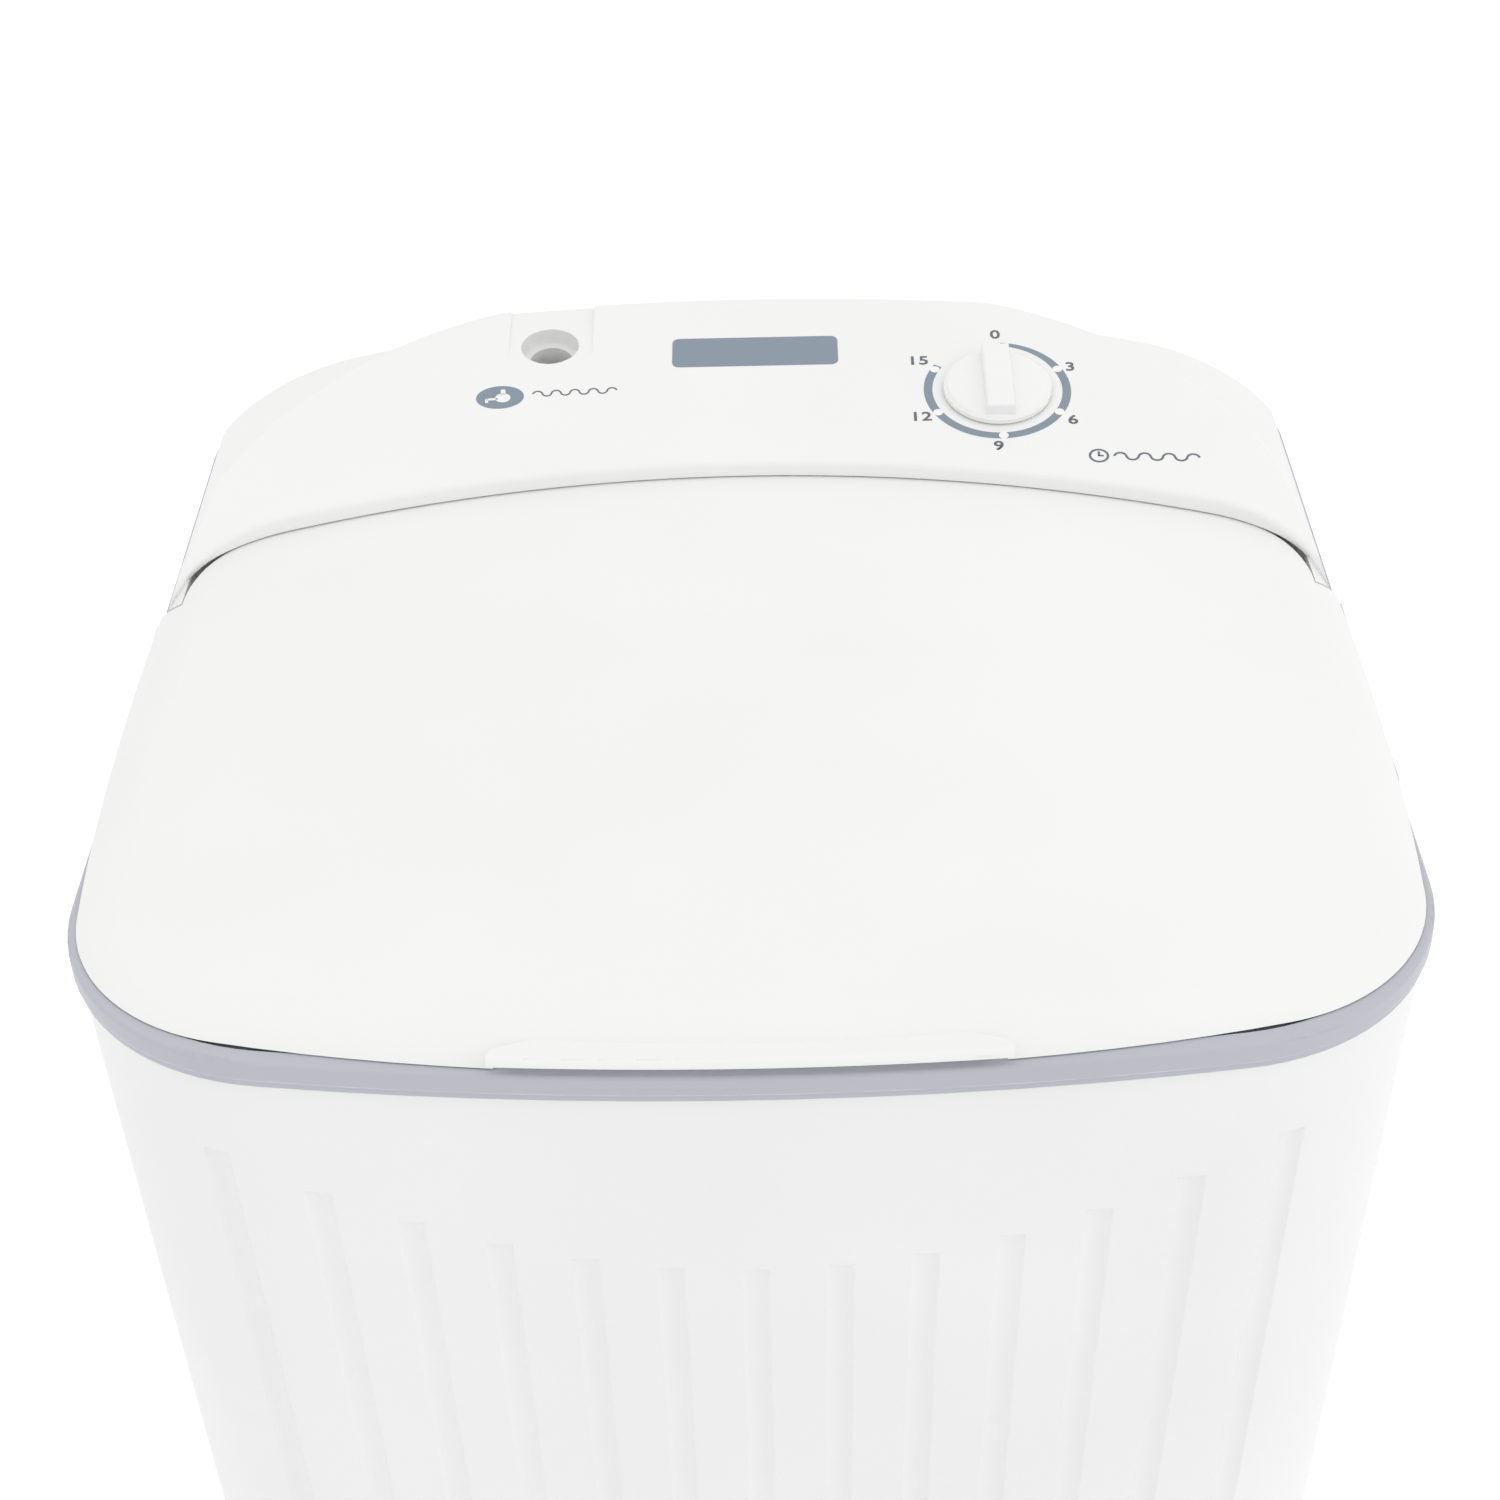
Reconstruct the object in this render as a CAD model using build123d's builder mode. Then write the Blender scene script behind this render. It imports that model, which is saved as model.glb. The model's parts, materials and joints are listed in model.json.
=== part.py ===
from build123d import *
import os
from math import copysign, cos, degrees, radians, sin, sqrt, tan

os.makedirs("parts", exist_ok=True)

# A small single-tub washing machine with a hinged lid and one wash timer.
# Millimetres, +Z up, floor at Z = 0, front towards -Y, symmetry plane at X = 0.

# Heights
LID_LEVEL = 632.0
RIM_CREST = LID_LEVEL - 0.3
RIM_TOP = LID_LEVEL - 3
RIM_STEP = LID_LEVEL - 6.6
RIM_BOTTOM = LID_LEVEL - 9
LEDGE = 3.0
COLLAR_BOTTOM = LID_LEVEL - 27
CABINET_TOP = RIM_TOP - LEDGE - 0.5
CABINET_BOTTOM = 24.0
BASE_BOTTOM = 14.0
BASE_WALL_TOP = 50.0

# Cabinet plan at its top edge, with a bowed front and drafted walls
CABINET_HALF = 198.2
CABINET_FRONT = -200.5
CABINET_REAR = 200.5
CABINET_CORNER = 71.0
CABINET_REAR_CORNER = 46.0
CABINET_WALL = 3.0
FRONT_BOW = 985.0
CABINET_DRAFT = 3.0
DRAFT_SLOPE = tan(radians(CABINET_DRAFT))

# Flutes pressed into the cabinet front
FLUTE_PITCH = 24.5
FLUTE_SPREAD = 5.5
FLUTES_EACH_SIDE = 6
FLUTE_RADIUS = 5.8
FLUTE_DEPTH = 1.6
FLUTE_CENTRE_DROP = 79.0
FLUTE_ARCH_RISE = 40.0
FLUTE_FOOT = 72.0

# Rim frame that caps the cabinet and carries the lid
RIM_HALF = 200.1
RIM_FRONT = -202.5
RIM_REAR = 203.5
RIM_CORNER = 73.0
RIM_REAR_CORNER = 48.0
RIM_SKIN = 1.6
RIM_STEP_IN = 0.6
RIM_BEAD = 1.3
RIM_UPSTAND = 5.5
COLLAR_WALL = 1.2
MOUTH_HALF = 188.0
MOUTH_FRONT = -187.0
MOUTH_CORNER = 60.0
MOUTH_REAR_HALF = 192.6
MOUTH_REAR_CORNER = 42.0
MOUTH_REAR_START = 20.0

# Arched seam between the lid and the control panel
ARCH_RADIUS = 560.0
LIP_HALF = 197.8
LIP_CROWN = 105.0
LIP_CORNER = 50.0
LIP_OVERHANG = 8.0
LIP_CLEARANCE = 0.5

# Lid
LID_HALF = 201.0
LID_FRONT = -198.8
LID_CORNER = 62.0
LID_WALL = 2.5
LID_BOTTOM = LID_LEVEL + 0.1
LID_REAR_BOTTOM = LID_LEVEL - 2
LID_CROWN = 16.5
LID_CROWN_Y = -20.0
LID_DOME_RADIUS = 1900.0
LID_ROLL = 28.0
LID_ROLL_SPREAD = 8.9
LID_WIDE_END = 38.0
LID_TUCK = 4.0
LID_SIDE_GAP = 5.4
HANDLE_HALF = 71.5
HANDLE_TOP_HALF = 50.0
HANDLE_UNDERSIDE = LID_LEVEL + 3.9
RECESS_BACK = -198.6

# Lid hinge
HINGE_Y = 50.0
HINGE_Z = LID_LEVEL - 0.2
HINGE_PIN_RADIUS = 1.5
HINGE_FIT = 0.05
HINGE_PIN_INNER = 187.0
HINGE_PIN_OUTER = 198.2
HINGE_BOSS_INNER = 185.5

# Control panel hood
PANEL_TILT = 12.5
PANEL_FOOT_Y = 44.0
PANEL_FOOT_RISE = 4.8
HOOD_HALF = 199.5
HOOD_START = 39.3
CHEEK_INNER = 192.8
CHEEK_LENGTH = 18.0
CHEEK_HEIGHT = 20.0
HOOD_SIDE_SLOPE = 20.0
HOOD_WALL = 3.0
SHOULDER_CROWN = 29.8
SHOULDER_RADIUS = 693.0
SHOULDER_COVE = 5.0
CREST_ROUND = 2.0
CREST_BLEND = 25.0
DIAL_X = 91.9
DIAL_Y = 141.0
INLET_X = -72.7
INLET_Y = 171.0
INLET_RADIUS = 10.8
INLET_WALL = 2.4
INLET_LENGTH = 16.0
INLET_STEP = 7.8
INLET_NECK = 8.0
PAD_LEFT = -88.0
PAD_RIGHT = -56.7
PAD_START_Y = 162.0
PAD_RELIEF = 3.6
PANEL_POSTS = [(-165, 125), (165, 125), (-20, 184), (40, 184)]

# Timer and knob, measured along the panel's normal
TIMER_RADIUS = 22.0
TIMER_TOP = -HOOD_WALL - 0.4
TIMER_DEPTH = 20.0
TIMER_SHAFT_RADIUS = 3.0
TIMER_SCREW_SPAN = 26.0
KNOB_RADIUS = 19.75
KNOB_GAP = 0.7
KNOB_EDGE = 2.3
KNOB_FACE = 4.5
KNOB_TOP = 7.8
KNOB_BAR = 9.2
KNOB_BAR_LENGTH = 35.6
KNOB_SOCKET = 5.5

# Wash tub
TUB_WALL = 2.5
TUB_FLOOR = 228.0
TUB_SHELF = 584.0
TUB_HALF = 187.0
TUB_FRONT = -184.0
TUB_REAR = 108.0
TUB_FLOOR_HALF = 158.0
TUB_FLOOR_FRONT = -166.0
TUB_FLOOR_REAR = 94.0
TUB_CORNER = 58.0
TUB_STAND_HALF = 190.4
TUB_STAND_WALL = 2.0
WELL_RADIUS = 116.0
WELL_DEPTH = 14.0
PULSATOR_Y = -37.0
PULSATOR_RADIUS = 112.0
PULSATOR_VANES = 4

# Drive train
SHAFT_RADIUS = 6.0
RUNNING_FIT = 0.04
HOUSING_RADIUS = 15.0
BUSH_RADIUS = 9.5
DRIVE_PULLEY_RADIUS = 75.0
MOTOR_PULLEY_RADIUS = 23.0
GROOVE_DEPTH = 9.0
GROOVE_HALF_TOP = 5.5
GROOVE_HALF_FOOT = 2.5
PULLEY_BOTTOM = 92.0
PULLEY_TOP = 108.0
BELT_Z = (PULLEY_BOTTOM + PULLEY_TOP) / 2
BELT_OUTER_DROP = 0.6
BELT_INNER_DROP = 7.0
BELT_WIDTH = 4.8
MOTOR_X = 95.0
MOTOR_Y = 60.0
MOTOR_RADIUS = 55.0
MOTOR_BOTTOM = 118.0
MOTOR_TOP = 196.0
MOTOR_SHAFT_RADIUS = 4.5
MOTOR_BOLT_CIRCLE = 44.0
BRACKET_BOTTOM = 112.0
BRACKET_THICKNESS = 3.0
BRACKET_POSTS = [(-142, 18), (142, 18), (-142, 108), (142, 108)]
CAPACITOR_X = -40.0
CAPACITOR_Y = 85.0

# Drain, gland, rear cover, feet and side grips
FRONT_SEAM = -118.0
REAR_SEAM = 150.0
DRAIN_X = -105.0
DRAIN_Y = 68.0
DRAIN_Z = 150.0
DRAIN_OUTER = 15.0
DRAIN_BORE = 12.0
DRAIN_STEP_Y = 178.0
SPIGOT_RADIUS = 13.5
SPIGOT_BORE = 11.5
SPIGOT_LENGTH = 22.0
GLAND_X = 125.0
GLAND_Z = 100.0
GLAND_BORE = 3.6
COVER_WIDTH = 130.0
COVER_HEIGHT = 190.0
COVER_Z = 230.0
COVER_LAP = 14.0
COVER_THICKNESS = 2.2
FOOT_X = 128.0
FOOT_FRONT_Y = -122.0
FOOT_REAR_Y = 128.0
FOOT_RADIUS = 17.0
GRIP_START = -56.0
GRIP_LENGTH = 96.0
GRIP_END = 4.0
SCREW_RADIUS = 2.0
SCREW_HOLE = 2.1
SCREW_HEAD = 4.0

PANEL_SIN = sin(radians(PANEL_TILT))
PANEL_COS = cos(radians(PANEL_TILT))
panel_plane = Plane(
    origin=(0, PANEL_FOOT_Y, LID_LEVEL + PANEL_FOOT_RISE),
    x_dir=(1, 0, 0),
    z_dir=(0, -PANEL_SIN, PANEL_COS),
)


def on_panel(x, y, lift=0.0):
    """Plane parallel to the panel face, over plan point (x, y), raised by lift."""
    slope_y = (y - PANEL_FOOT_Y) / PANEL_COS
    origin = panel_plane.from_local_coords((x, slope_y, lift))
    return Plane(origin=origin, x_dir=(1, 0, 0), z_dir=panel_plane.z_dir)


def plan_outline(half_width, front, rear, front_radius, rear_radius):
    """Plan outline with a bowed front edge, straight sides and a straight rear."""
    corner_y = front + half_width**2 / (2 * FRONT_BOW)
    with BuildSketch() as outline:
        with BuildLine():
            ThreePointArc((-half_width, corner_y), (0, front), (half_width, corner_y))
            Polyline(
                (half_width, corner_y),
                (half_width, rear),
                (-half_width, rear),
                (-half_width, corner_y),
            )
        make_face()
        fillet(outline.vertices().group_by(Axis.Y)[0], front_radius)
        fillet(outline.vertices().group_by(Axis.Y)[-1], rear_radius)
    return outline.sketch


def cabinet_outline(height, inset=0.0):
    """Cabinet plan at a height, drawn in by inset."""
    drawn_in = (CABINET_TOP - height) * DRAFT_SLOPE + inset
    return plan_outline(
        CABINET_HALF - drawn_in,
        CABINET_FRONT + drawn_in,
        CABINET_REAR - drawn_in,
        CABINET_CORNER - drawn_in,
        CABINET_REAR_CORNER - drawn_in,
    )


def rear_zone(half_width, crown, corner, start=-60.0):
    """Plan of the arched opening: straight sides, rounded corners, bowed rear edge."""
    corner_y = crown - half_width**2 / (2 * ARCH_RADIUS)
    with BuildSketch() as zone:
        with BuildLine():
            ThreePointArc((-half_width, corner_y), (0, crown), (half_width, corner_y))
            Polyline(
                (half_width, corner_y),
                (half_width, start),
                (-half_width, start),
                (-half_width, corner_y),
            )
        make_face()
        fillet(zone.vertices().group_by(Axis.Y)[-1], corner)
    return zone.sketch


def rim_outline(inset):
    """Plan of the rim band, drawn in by inset."""
    return plan_outline(
        RIM_HALF - inset,
        RIM_FRONT + inset,
        RIM_REAR - inset,
        RIM_CORNER - inset,
        RIM_REAR_CORNER - inset,
    )


def mouth_outline(grow):
    """Mouth of the rim frame: narrower in front, wider and arched behind."""
    with BuildSketch() as mouth:
        add(plan_outline(MOUTH_HALF + grow, MOUTH_FRONT - grow, 60.0, MOUTH_CORNER + grow, 5.0))
        add(
            rear_zone(
                MOUTH_REAR_HALF + grow,
                LIP_CROWN + LIP_OVERHANG + grow,
                MOUTH_REAR_CORNER + grow,
                MOUTH_REAR_START - grow,
            )
        )
    return mouth.sketch


def tub_outline(height, grow=0.0):
    """Inner plan of the wash tub at a height, grown outwards by grow."""
    share = (height - TUB_FLOOR) / (TUB_SHELF - TUB_FLOOR)
    return plan_outline(
        TUB_FLOOR_HALF + share * (TUB_HALF - TUB_FLOOR_HALF) + grow,
        TUB_FLOOR_FRONT + share * (TUB_FRONT - TUB_FLOOR_FRONT) - grow,
        TUB_FLOOR_REAR + share * (TUB_REAR - TUB_FLOOR_REAR) + grow,
        TUB_CORNER + grow,
        TUB_CORNER + grow,
    )


def cabinet_side(height):
    """Half width of the cabinet's outer face at a height."""
    return CABINET_HALF - (CABINET_TOP - height) * DRAFT_SLOPE


def cabinet_back(height):
    """Y of the cabinet's outer rear face at a height."""
    return CABINET_REAR - (CABINET_TOP - height) * DRAFT_SLOPE


def rear_wall(x, height):
    """Plane on the cabinet's outer rear face, looking outwards."""
    origin = (x, cabinet_back(height), height)
    return Plane(origin=origin, x_dir=(-1, 0, 0), z_dir=(0, 1, -DRAFT_SLOPE))


def front_point(x, height, out):
    """Point over the cabinet's front at a place across and a height, out from its surface."""
    drawn_in = (CABINET_TOP - height) * DRAFT_SLOPE
    front = CABINET_FRONT + drawn_in
    corner = CABINET_CORNER - drawn_in
    corner_x = CABINET_HALF - drawn_in - corner
    corner_y = front + FRONT_BOW - sqrt((FRONT_BOW - corner) ** 2 - corner_x**2)
    centre = Vector(0, front + FRONT_BOW)
    reach = FRONT_BOW
    if abs(x) > corner_x * FRONT_BOW / (FRONT_BOW - corner):
        centre = Vector(copysign(corner_x, x), corner_y)
        reach = corner
    across = x - centre.X
    depth = sqrt(reach**2 - across**2)
    grow = (reach + out) / reach
    return Vector(centre.X + across * grow, centre.Y - depth * grow, height)


def lid_form(inset):
    """Domed and rolled form of the lid, drawn in by inset, longer than the lid behind."""
    spread = LID_ROLL_SPREAD - inset
    with BuildPart() as form:
        with BuildSketch(Plane.XY.offset(LID_LEVEL - 40)):
            add(
                plan_outline(
                    LID_HALF + spread, LID_FRONT - spread, 260.0, LID_CORNER + spread, LID_CORNER
                )
            )
        extrude(amount=80)
        with Locations((0, LID_CROWN_Y, LID_LEVEL + LID_CROWN - LID_DOME_RADIUS)):
            Sphere(LID_DOME_RADIUS - inset, mode=Mode.INTERSECT)
        fillet(form.faces().sort_by(Axis.Z)[-1].edges(), LID_ROLL - inset)
    return form.part


def lid_plan(inset):
    """Plan of the lid behind its rolled edges: full width in front, narrower arch behind."""
    with BuildSketch() as plan:
        with Locations((0, LID_WIDE_END - inset)):
            Rectangle(500, 400, align=(Align.CENTER, Align.MAX))
        add(
            rear_zone(
                LIP_HALF - LID_SIDE_GAP - inset, LIP_CROWN + LID_TUCK - inset, LIP_CORNER - 1 - inset
            )
        )
    return plan.sketch


# Cabinet: one drafted shell, open above and below
rear_plane = rear_wall(0, COVER_Z)
gland_plane = rear_wall(GLAND_X, GLAND_Z)
drain_plane = rear_wall(DRAIN_X, DRAIN_Z)
base_screw_z = CABINET_BOTTOM + 14
base_screw_rows = [-95.0, 110.0]

with BuildPart() as cabinet_shell:
    with BuildSketch(Plane.XY.offset(CABINET_BOTTOM)):
        add(cabinet_outline(CABINET_BOTTOM))
    extrude(amount=CABINET_TOP - CABINET_BOTTOM, taper=-CABINET_DRAFT)
    with BuildSketch(Plane.XY.offset(CABINET_BOTTOM)):
        add(cabinet_outline(CABINET_BOTTOM, CABINET_WALL))
    extrude(amount=CABINET_TOP - CABINET_BOTTOM, taper=-CABINET_DRAFT, mode=Mode.SUBTRACT)
    for index in range(-FLUTES_EACH_SIDE, FLUTES_EACH_SIDE + 1):
        span = index / FLUTES_EACH_SIDE
        top_x = index * FLUTE_PITCH + copysign(FLUTE_SPREAD * abs(span) ** 6, index)
        top_z = LID_LEVEL - FLUTE_CENTRE_DROP + FLUTE_ARCH_RISE * span**2
        foot_x = top_x * cabinet_side(FLUTE_FOOT) / cabinet_side(top_z)
        top = front_point(top_x, top_z, FLUTE_RADIUS - FLUTE_DEPTH)
        foot = front_point(foot_x, FLUTE_FOOT, FLUTE_RADIUS - FLUTE_DEPTH)
        with Locations(Plane(origin=foot, z_dir=top - foot)):
            Cylinder(
                FLUTE_RADIUS,
                (top - foot).length,
                align=(Align.CENTER, Align.CENTER, Align.MIN),
                mode=Mode.SUBTRACT,
            )
    with BuildSketch(rear_plane):
        RectangleRounded(COVER_WIDTH, COVER_HEIGHT, 8)
    extrude(amount=-3 * CABINET_WALL, mode=Mode.SUBTRACT)
    with BuildSketch(rear_plane):
        with GridLocations(COVER_WIDTH + COVER_LAP, COVER_HEIGHT - 2 * COVER_LAP, 2, 2):
            Circle(SCREW_HOLE)
    extrude(amount=-3 * CABINET_WALL, mode=Mode.SUBTRACT)
    with BuildSketch(drain_plane):
        Circle(DRAIN_OUTER + 0.8)
    extrude(amount=-3 * CABINET_WALL, mode=Mode.SUBTRACT)
    with BuildSketch(gland_plane):
        Circle(GLAND_BORE + 3.8)
    extrude(amount=-3 * CABINET_WALL, mode=Mode.SUBTRACT)
    for side in (-1, 1):
        for row in base_screw_rows:
            with Locations((side * cabinet_side(base_screw_z), row, base_screw_z)):
                Cylinder(SCREW_HOLE, 4 * CABINET_WALL, rotation=(0, 90, 0), mode=Mode.SUBTRACT)

# The shell is divided into four walls, with the seams on its flat sides and rear
cabinet_walls = {
    "cabinet_front": (-300, 300, -300, FRONT_SEAM),
    "cabinet_left": (-300, -REAR_SEAM, FRONT_SEAM, 300),
    "cabinet_right": (REAR_SEAM, 300, FRONT_SEAM, 300),
    "cabinet_rear": (-REAR_SEAM, REAR_SEAM, FRONT_SEAM, 300),
}
for wall_name, (left, right, front, rear) in cabinet_walls.items():
    with BuildPart() as cabinet_wall:
        add(cabinet_shell.part)
        with Locations(((left + right) / 2, (front + rear) / 2, LID_LEVEL / 2)):
            Box(right - left, rear - front, 2 * LID_LEVEL, mode=Mode.INTERSECT)
    cabinet_wall.part.label = wall_name
    export_step(cabinet_wall.part, f"parts/{wall_name}.step")

# Rim frame: a stepped band over the cabinet's edge, a collar and the rear deck
with BuildPart() as rim_frame:
    with BuildSketch(Plane.XY.offset(RIM_STEP)):
        add(rim_outline(0.0))
    extrude(amount=RIM_CREST - RIM_STEP)
    fillet(rim_frame.faces().sort_by(Axis.Z)[-1].edges(), RIM_BEAD)
    # Inside the crest and below the hood the band is cut down to the ledge and the deck
    with BuildSketch(Plane.XY.offset(RIM_TOP)):
        add(rim_outline(RIM_UPSTAND))
        with Locations((0, HOOD_START - 0.3)):
            Rectangle(500, 300, align=(Align.CENTER, Align.MIN))
    extrude(amount=20, mode=Mode.SUBTRACT)
    with BuildSketch(Plane.XY.offset(RIM_BOTTOM)):
        add(rim_outline(RIM_STEP_IN))
    extrude(amount=RIM_STEP - RIM_BOTTOM)
    with BuildSketch(Plane.XY.offset(RIM_BOTTOM)):
        add(rim_outline(RIM_SKIN))
        add(mouth_outline(COLLAR_WALL), mode=Mode.SUBTRACT)
    extrude(amount=RIM_TOP - LEDGE - RIM_BOTTOM, mode=Mode.SUBTRACT)
    with BuildSketch(Plane.XY.offset(COLLAR_BOTTOM)):
        add(mouth_outline(COLLAR_WALL))
    extrude(amount=RIM_BOTTOM - COLLAR_BOTTOM)
    with BuildSketch(Plane.XY.offset(COLLAR_BOTTOM)):
        add(mouth_outline(0.0))
    extrude(amount=RIM_TOP - COLLAR_BOTTOM, mode=Mode.SUBTRACT)
    # Window for the water chute through the deck and the collar
    with Locations((INLET_X, 150, RIM_TOP)):
        Box(38, 86, 2 * (RIM_TOP - COLLAR_BOTTOM) - 4, mode=Mode.SUBTRACT)
    # Passage for the wires below the timer
    with Locations((DIAL_X, DIAL_Y + 7, RIM_TOP)):
        Cylinder(9, 20, mode=Mode.SUBTRACT)
    with Locations([(x, y, RIM_TOP) for x, y in PANEL_POSTS]):
        Cylinder(SCREW_HOLE, 20, mode=Mode.SUBTRACT)

rim_frame.part.label = "rim_frame"
export_step(rim_frame.part, "parts/rim_frame.step")

# Side grips: hooded finger lips on the rim band, one each side
for side, grip_name in ((-1, "side_grip_left"), (1, "side_grip_right")):
    grip_outer = [(RIM_HALF, -3.6), (202.6, -5.2), (204.9, -11.5), (206.4, -19), (206, -45)]
    grip_inner = [(196.9, -45), (198.5, RIM_BOTTOM - LID_LEVEL - 0.3), (RIM_HALF, RIM_BOTTOM - LID_LEVEL - 0.3)]
    with BuildPart() as side_grip:
        with BuildSketch(Plane.XZ.offset(-GRIP_START)):
            with BuildLine():
                Polyline(
                    *[(side * x, LID_LEVEL + z) for x, z in grip_outer + grip_inner],
                    close=True,
                )
            make_face()
        extrude(amount=-GRIP_LENGTH)
        corners = side_grip.edges().filter_by(lambda e: abs(e.tangent_at(0.5).Z) > 0.5)
        outer_corners = corners.filter_by(lambda e: abs(e.center().X) > 205.5)
        fillet(outer_corners, 2.0)
        # Finger space behind the lip, open below
        with BuildSketch(Plane.XZ.offset(-GRIP_START - GRIP_END)):
            with BuildLine():
                Polyline(
                    (side * 196.5, LID_LEVEL - 50),
                    (side * 203.4, LID_LEVEL - 50),
                    (side * 204.4, LID_LEVEL - 20),
                    (side * 203.6, LID_LEVEL - 13),
                    (side * 201.8, LID_LEVEL - 9.6),
                    (side * 196.5, LID_LEVEL - 9.2),
                    close=True,
                )
            make_face()
        extrude(amount=-(GRIP_LENGTH - 2 * GRIP_END), mode=Mode.SUBTRACT)
    side_grip.part.label = grip_name
    export_step(side_grip.part, f"parts/{grip_name}.step")


# Control panel hood: a tilted face over low rear shoulders, with an overhanging front lip
def crest_outline(inset):
    """Edge of the panel face, drawn on the panel's own plane."""
    rear, bend, flank = 156.2 - inset, (92 - inset, 151.2 - inset), (189.8 - inset, 57.4)
    middle = (142.0 - 0.7 * inset, 123.0 - 0.7 * inset)
    front = (HOOD_HALF + 10.8 - inset, -80.0)
    with BuildSketch() as crest:
        with BuildLine():
            ThreePointArc((-bend[0], bend[1]), (0, rear), bend)
            ThreePointArc(bend, middle, flank)
            Polyline(flank, front, (-front[0], front[1]), (-flank[0], flank[1]))
            ThreePointArc((-flank[0], flank[1]), (-middle[0], middle[1]), (-bend[0], bend[1]))
        make_face()
        fillet(crest.vertices(), CREST_BLEND)
    return crest.sketch


def hood_form(inset, front_zone):
    """Hood body drawn in by inset, over falling shoulders, with front_zone cut away in front."""
    half = HOOD_HALF - inset
    height = 80.0
    lean = height * tan(radians(HOOD_SIDE_SLOPE))
    with BuildPart() as cove:
        with BuildSketch(panel_plane.offset(-height)):
            Rectangle(700, 700)
            add(crest_outline(inset), mode=Mode.SUBTRACT)
        extrude(amount=2 * height)
        with Locations((0, 0, LID_LEVEL + SHOULDER_CROWN - SHOULDER_RADIUS)):
            Cylinder(SHOULDER_RADIUS - inset, 1500, rotation=(90, 0, 0), mode=Mode.SUBTRACT)
        shoulder = cove.faces().filter_by(GeomType.CYLINDER).sort_by(SortBy.AREA)[-1]
        fillet(shoulder.inner_wires()[0].edges(), SHOULDER_COVE)
    with BuildPart() as form:
        with BuildSketch(Plane.XY.offset(RIM_TOP)):
            with Locations((0, (HOOD_START + RIM_REAR) / 2)):
                body = Rectangle(2 * half, RIM_REAR - HOOD_START - 2 * inset)
            fillet(body.vertices().group_by(Axis.Y)[-1], RIM_REAR_CORNER - inset)
            add(front_zone, mode=Mode.SUBTRACT)
        extrude(amount=height)
        with BuildSketch(Plane.XZ):
            Polygon(
                (-half, RIM_TOP),
                (half, RIM_TOP),
                (half - lean, RIM_TOP + height),
                (lean - half, RIM_TOP + height),
                align=None,
            )
        extrude(amount=400, both=True, mode=Mode.INTERSECT)
        split(bisect_by=panel_plane.offset(-inset), keep=Keep.BOTTOM)
        add(cove.part, mode=Mode.SUBTRACT)
    return form.part


with BuildPart() as lip_space:
    with BuildSketch(Plane.XY.offset(RIM_TOP - 1)):
        add(rear_zone(LIP_HALF, LIP_CROWN + LIP_OVERHANG, LIP_CORNER))
        Rectangle(2 * CHEEK_INNER, 600, mode=Mode.INTERSECT)
    extrude(amount=80)
    add(lid_form(-LIP_CLEARANCE), mode=Mode.INTERSECT)

# Cheeks beside the lid that carry its pins and carry on the lid's rolled surface
with BuildPart() as hood_cheeks:
    for side in (-1, 1):
        with Locations((side * (CHEEK_INNER + HOOD_HALF) / 2, HOOD_START, RIM_TOP)):
            Box(
                HOOD_HALF - CHEEK_INNER,
                CHEEK_LENGTH,
                CHEEK_HEIGHT,
                align=(Align.CENTER, Align.MIN, Align.MIN),
            )
    cheek_lean = CHEEK_HEIGHT * tan(radians(HOOD_SIDE_SLOPE))
    with BuildSketch(Plane.XZ):
        Polygon(
            (-HOOD_HALF, RIM_TOP),
            (HOOD_HALF, RIM_TOP),
            (HOOD_HALF - cheek_lean, RIM_TOP + CHEEK_HEIGHT),
            (cheek_lean - HOOD_HALF, RIM_TOP + CHEEK_HEIGHT),
            align=None,
        )
    extrude(amount=400, both=True, mode=Mode.INTERSECT)
    add(lid_form(0.0), mode=Mode.INTERSECT)

hood_outer = hood_form(0.0, rear_zone(LIP_HALF, LIP_CROWN, LIP_CORNER))
hood_inner = hood_form(
    HOOD_WALL, rear_zone(LIP_HALF + 6, LIP_CROWN + LIP_OVERHANG + HOOD_WALL, LIP_CORNER + 6)
)
pad_tilt = radians(PANEL_TILT - PAD_RELIEF)
pad_plane = Plane(
    origin=on_panel(0, PAD_START_Y).origin, x_dir=(1, 0, 0), z_dir=(0, -sin(pad_tilt), cos(pad_tilt))
)

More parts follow.
